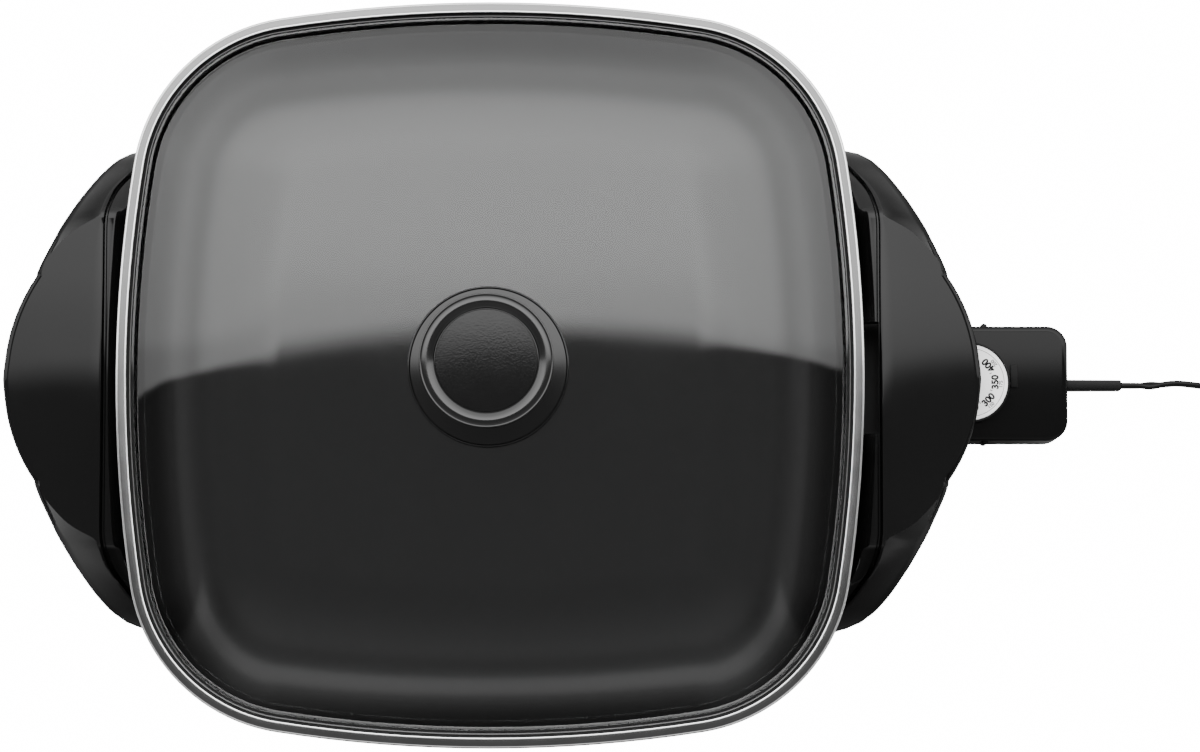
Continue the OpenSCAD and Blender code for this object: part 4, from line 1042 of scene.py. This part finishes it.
finishPiece(makeRelief(), "control", [cordFinish], ["strain_relief"])
print("control made")


# dial: a black rim with finger notches, a white plate and its numbers

dial = {"r": 17.5, "low": 44.8, "top": 49.7, "rim": 1.0, "bore": 2.55, "plateThick": 0.6, "plateEdge": 0.12,
        "sunk": 0.2, "notches": 36, "notchDeep": 0.35, "notchFrom": 0.1, "notchTo": 0.65,
        "numbers": ((42.7, "400", "200"), (0.6, "350", "175"), (-43.6, "300", "150"), (-87, "250", "120"),
                    (-131, "200", "95")),
        "numberR": 11.0, "numberHigh": 4.1, "bold": 0.19, "smallR": 13.5, "smallHigh": 2.1, "smallBold": 0.05,
        "smallTurn": -4, "tickIn": 1.2, "tickTurn": 23, "tickLong": 1.1, "tickWide": 0.3,
        "arcR": 14.7, "arcWide": 0.2, "ink": 0.04, "steps": 96}
dialLow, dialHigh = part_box("dial")
dialX = (dialLow[0] + dialHigh[0]) / 2


def makeDial():
    r, top = dial["r"], dial["top"]
    inner = r - dial["rim"]
    floor = top - dial["plateThick"] - dial["sunk"]
    low, bore = dial["low"], dial["bore"]
    section = [(bore, low), (r - 0.3, low), (r, low + 0.3), (r, top - 0.6), (r - 0.12, top - 0.2), (r - 0.4, top),
               (inner + 0.15, top), (inner, top - 0.15), (inner, floor), (0, floor), (0, floor - 0.4),
               (bore, floor - 0.4), (bore, low)]
    piece = turnPiece("dialRing", section, dialX, 0, dial["notches"] * 4)
    choose(piece)
    bpy.ops.object.mode_set(mode="EDIT")

    def inNotch(vert):
        turn = math.degrees(math.atan2(vert.co.y, vert.co.x - dialX)) % (360 / dial["notches"])
        share = turn * dial["notches"] / 360
        outside = math.hypot(vert.co.x - dialX, vert.co.y) > (r - 0.1) * mm
        return outside and dial["notchFrom"] < share < dial["notchTo"]

    pick(piece, "VERT", inNotch)
    shrink = 1 - dial["notchDeep"] / r
    bpy.ops.transform.resize(value=(shrink, shrink, 1), center_override=(dialX, 0, 0))
    return closePiece(smoothAngle=30)


def makePlate():
    r, edge = dial["r"] - dial["rim"] - 0.1, dial["plateEdge"]
    top = dial["top"] - dial["sunk"]
    low = top - dial["plateThick"]
    section = [(0, low), (r, low), (r, top - edge), (r - edge, top), (0, top)]
    return turnPiece("dialPlate", section, dialX, 0, dial["steps"])


# flat lettering, made a mesh before its place is applied
def addNumber(name, words, size, r, degrees, z, bold):
    bpy.ops.object.text_add(location=(0, 0, 0))
    piece = bpy.context.object
    piece.data.body = words
    piece.data.size = size * mm
    piece.data.offset = bold * mm
    piece.data.align_x = "CENTER"
    piece.data.align_y = "CENTER"
    piece.data.extrude = dial["ink"] * mm / 2
    bpy.ops.object.convert(target="MESH")
    turn = math.radians(degrees)
    piece = nameNew(name)
    piece.location = (dialX + r * mm * math.cos(turn), r * mm * math.sin(turn), z * mm)
    piece.rotation_euler = (0, 0, turn + math.pi / 2)
    bpy.ops.object.transform_apply(location=True, rotation=True, scale=True)
    return piece


def addTick(r, degrees, z):
    long, wide, high = dial["tickLong"] / 2 * mm, dial["tickWide"] / 2 * mm, dial["ink"] / 2 * mm
    centre = Vector((dialX + r * mm, 0, z * mm))
    addBlock("dialTick", centre - Vector((long, wide, high)), centre + Vector((long, wide, high)))
    bpy.ops.transform.rotate(value=-math.radians(degrees), orient_axis="Z", center_override=(dialX, 0, 0))
    return closePiece()


def makeNumbers():
    low = dial["top"] - dial["sunk"]
    z, high = low + dial["ink"] / 2, low + dial["ink"]
    dark, pale = [], []
    for degrees, large, small in dial["numbers"]:
        dark.append(addNumber("dialNumbers", large, dial["numberHigh"], dial["numberR"], degrees, z, dial["bold"]))
        dark.append(addTick(dial["numberR"] - dial["tickIn"], degrees + dial["tickTurn"], z))
        turned = degrees + dial["smallTurn"]
        pale.append(addNumber("dialSmallNumbers", small, dial["smallHigh"], dial["smallR"], turned, z,
                              dial["smallBold"]))
    a, b = dial["arcR"], dial["arcR"] + dial["arcWide"]
    section = [(a, low), (b, low), (b, high), (a, high), (a, low)]
    pale.append(turnPiece("dialArc", section, dialX, 0, dial["steps"]))
    return joinPieces(dark[0], dark[1:]), joinPieces(pale[0], pale[1:])


finishPiece(makeDial(), "dial", [dialFinish], ["dial"])
finishPiece(makePlate(), "dial", [plateFinish], ["dial_plate"])
dialNumbers, dialSmallNumbers = makeNumbers()
finishPiece(dialNumbers, "dial", [inkFinish])
finishPiece(dialSmallNumbers, "dial", [paleInkFinish])
print("dial made")


# studio: a white floor, a bright half of the sky behind the skillet and a dark half in front. The line between them
# is bowed. Each half's tones run from overhead (0) down to the horizon (1) and change towards the sides, and the
# bright half is dimmer close to the line. The floor's shades run outwards from the skillet's middle.

studio = {"floor": 30, "white": 16.0, "nearFrom": -0.02, "nearTo": 0.04, "farFrom": 0.14, "farTo": 0.3,
          "frontShade": ((0, 0.08), (0.2, 0.08), (0.28, 0.33), (0.42, 0.33), (0.55, 0.1), (1, 0.1)),
          "backShade": ((0, 0.14), (0.2, 0.14), (0.38, 0.14), (0.5, 0.95), (1, 0.95)), "farShade": 0.6,
          "edge": 0.1020, "soft": 0.004, "arch": 1.53, "archX": -0.0164, "archLeft": -0.057, "archRight": 0.0384,
          "bow": ((0, 0.038), (0.0095, 0.0266), (0.03, 0.02), (0.047, 0.0184), (0.08, 0.0153), (0.12, 0.0127),
                  (0.1525, 0.011), (0.2075, 0.0095), (0.2735, 0.0084), (0.387, 0.0082), (0.44, 0.0076),
                  (0.463, 0.0071), (0.511, 0.007), (0.53, 0.0068), (0.55, 0.0065), (0.575, 0.0057), (0.61, 0.0045),
                  (0.7325, 0.0016), (0.838, 0.0013), (0.906, 0.0025), (0.945, 0.0046), (0.9675, 0.0063),
                  (0.991, 0.011), (1, 0.0135)),
          "bowMost": 0.04, "most": 8, "asideFrom": 0.12,
          "back": ((0, 6.4), (0.125, 6.4), (0.16, 6.2), (0.31, 5.6), (0.45, 5.4), (0.573, 5.1), (0.638, 5.0),
                   (0.696, 4.85), (0.749, 4.55), (0.798, 3.9), (0.84, 3.25), (0.878, 3.15), (0.911, 3.1),
                   (0.939, 2.7), (0.962, 2.3), (0.98, 2.05), (1, 1.85)),
          "backRise": ((0, 0.75), (0.092, 0.75), (0.11, 0.93), (0.125, 1), (1, 1)),
          "backSideways": ((0, 1), (0.12, 1), (0.3, 0.96), (0.6, 0.96), (0.72, 0.98), (0.8, 1.02), (0.86, 1.06),
                           (0.9, 1.15), (0.95, 1.22), (1, 1.2)),
          "front": ((0, 0.52), (0.45, 0.52), (0.62, 0.62), (0.73, 0.66), (0.79, 0.56), (0.83, 0.66), (0.887, 1.45),
                    (0.93, 0.75), (0.96, 0.36), (0.98, 0.2), (1, 0.15)),
          "frontSideways": ((0, 1), (0.45, 1), (0.6, 0.88), (0.72, 0.74), (0.78, 0.76), (0.83, 0.82), (0.87, 0.55),
                            (0.885, 0.45), (0.92, 0.48), (0.95, 0.65), (0.975, 0.85), (1, 1.2)), "sideMost": 2}


def ramp(tree, value, low, high, outLow, outHigh):
    result = mapBetween(tree, value, low, high, outLow, outHigh)
    result.node.interpolation_type = "SMOOTHSTEP"
    return result


# a curve of tones along a value from 0 to 1
def tone(tree, key, value, most):
    curve = tree.nodes.new("ShaderNodeFloatCurve")
    points = curve.mapping.curves[0].points
    while len(points) < len(studio[key]):
        points.new(0.5, 0.5)
    for point, (spot, height) in zip(points, studio[key]):
        point.location = (spot, height / most)
    curve.mapping.update()
    tree.links.new(value, curve.inputs["Value"])
    return reckon(tree, "MULTIPLY", curve.outputs["Value"], most)


def splitPlace(tree, kind):
    split = tree.nodes.new("ShaderNodeSeparateXYZ")
    tree.links.new(tree.nodes.new("ShaderNodeTexCoord").outputs[kind], split.inputs[0])
    return split.outputs["X"], split.outputs["Y"]


# white where the camera sees it; what it lends to reflections is painted shade, set in zones in front of, behind and
# far behind the skillet
def makeFloor():
    bpy.ops.mesh.primitive_plane_add(size=studio["floor"], location=(0, 0, 0))
    floor = nameNew("studioFloor")
    finish, tree, shader = newFinish("studioWhite")
    x, y = splitPlace(tree, "Object")
    wide = reckon(tree, "ABSOLUTE", x)
    front, back = tone(tree, "frontShade", wide, 1), tone(tree, "backShade", wide, 1)
    shade = ramp(tree, y, studio["nearFrom"], studio["nearTo"], front, back)
    shade = ramp(tree, y, studio["farFrom"], studio["farTo"], shade, studio["farShade"])
    tree.links.new(shade, shader.inputs["Base Color"])
    shader.inputs["Roughness"].default_value = 0.9
    shader.inputs["Specular IOR Level"].default_value = 0.0
    glow = tree.nodes.new("ShaderNodeEmission")
    glow.inputs["Strength"].default_value = studio["white"]
    rays = tree.nodes.new("ShaderNodeLightPath")
    mix = tree.nodes.new("ShaderNodeMixShader")
    tree.links.new(rays.outputs["Is Camera Ray"], mix.inputs["Fac"])
    tree.links.new(shader.outputs[0], mix.inputs[1])
    tree.links.new(glow.outputs[0], mix.inputs[2])
    tree.links.new(mix.outputs[0], tree.nodes["Material Output"].inputs["Surface"])
    floor.data.materials.append(finish)


def makeSky():
    world = bpy.data.worlds.new("studioSky")
    bpy.context.scene.world = world
    world.use_nodes = True
    tree = world.node_tree
    background = tree.nodes["Background"]
    background.inputs["Color"].default_value = (1, 1, 1, 1)
    x, y = splitPlace(tree, "Generated")

    def times(first, second):
        return reckon(tree, "MULTIPLY", first, second)

    wide = reckon(tree, "ABSOLUTE", x)
    near = reckon(tree, "MAXIMUM", reckon(tree, "SUBTRACT", x, studio["archX"]), studio["archLeft"])
    near = reckon(tree, "MINIMUM", near, studio["archRight"])
    arch = times(times(near, near), studio["arch"])
    bow = tone(tree, "bow", mapBetween(tree, x, -1, 1), studio["bowMost"])
    across = reckon(tree, "ADD", y, reckon(tree, "ADD", arch, bow))
    side = ramp(tree, across, studio["edge"] - studio["soft"], studio["edge"] + studio["soft"], 0, 1)
    mix = tree.nodes.new("ShaderNodeMix")
    tree.links.new(side, mix.inputs["Factor"])
    aside = mapBetween(tree, wide, studio["asideFrom"], 1)
    squares = reckon(tree, "ADD", times(aside, aside), times(y, y))
    fall = reckon(tree, "SQRT", squares)
    most, sideMost = studio["most"], studio["sideMost"]
    front = times(tone(tree, "front", fall, most), tone(tree, "frontSideways", wide, sideMost))
    back = times(tone(tree, "back", fall, most), tone(tree, "backSideways", wide, sideMost))
    back = times(back, tone(tree, "backRise", y, sideMost))
    tree.links.new(front, mix.inputs["A"])
    tree.links.new(back, mix.inputs["B"])
    tree.links.new(mix.outputs["Result"], background.inputs["Strength"])


makeFloor()
makeSky()
print("studio set")
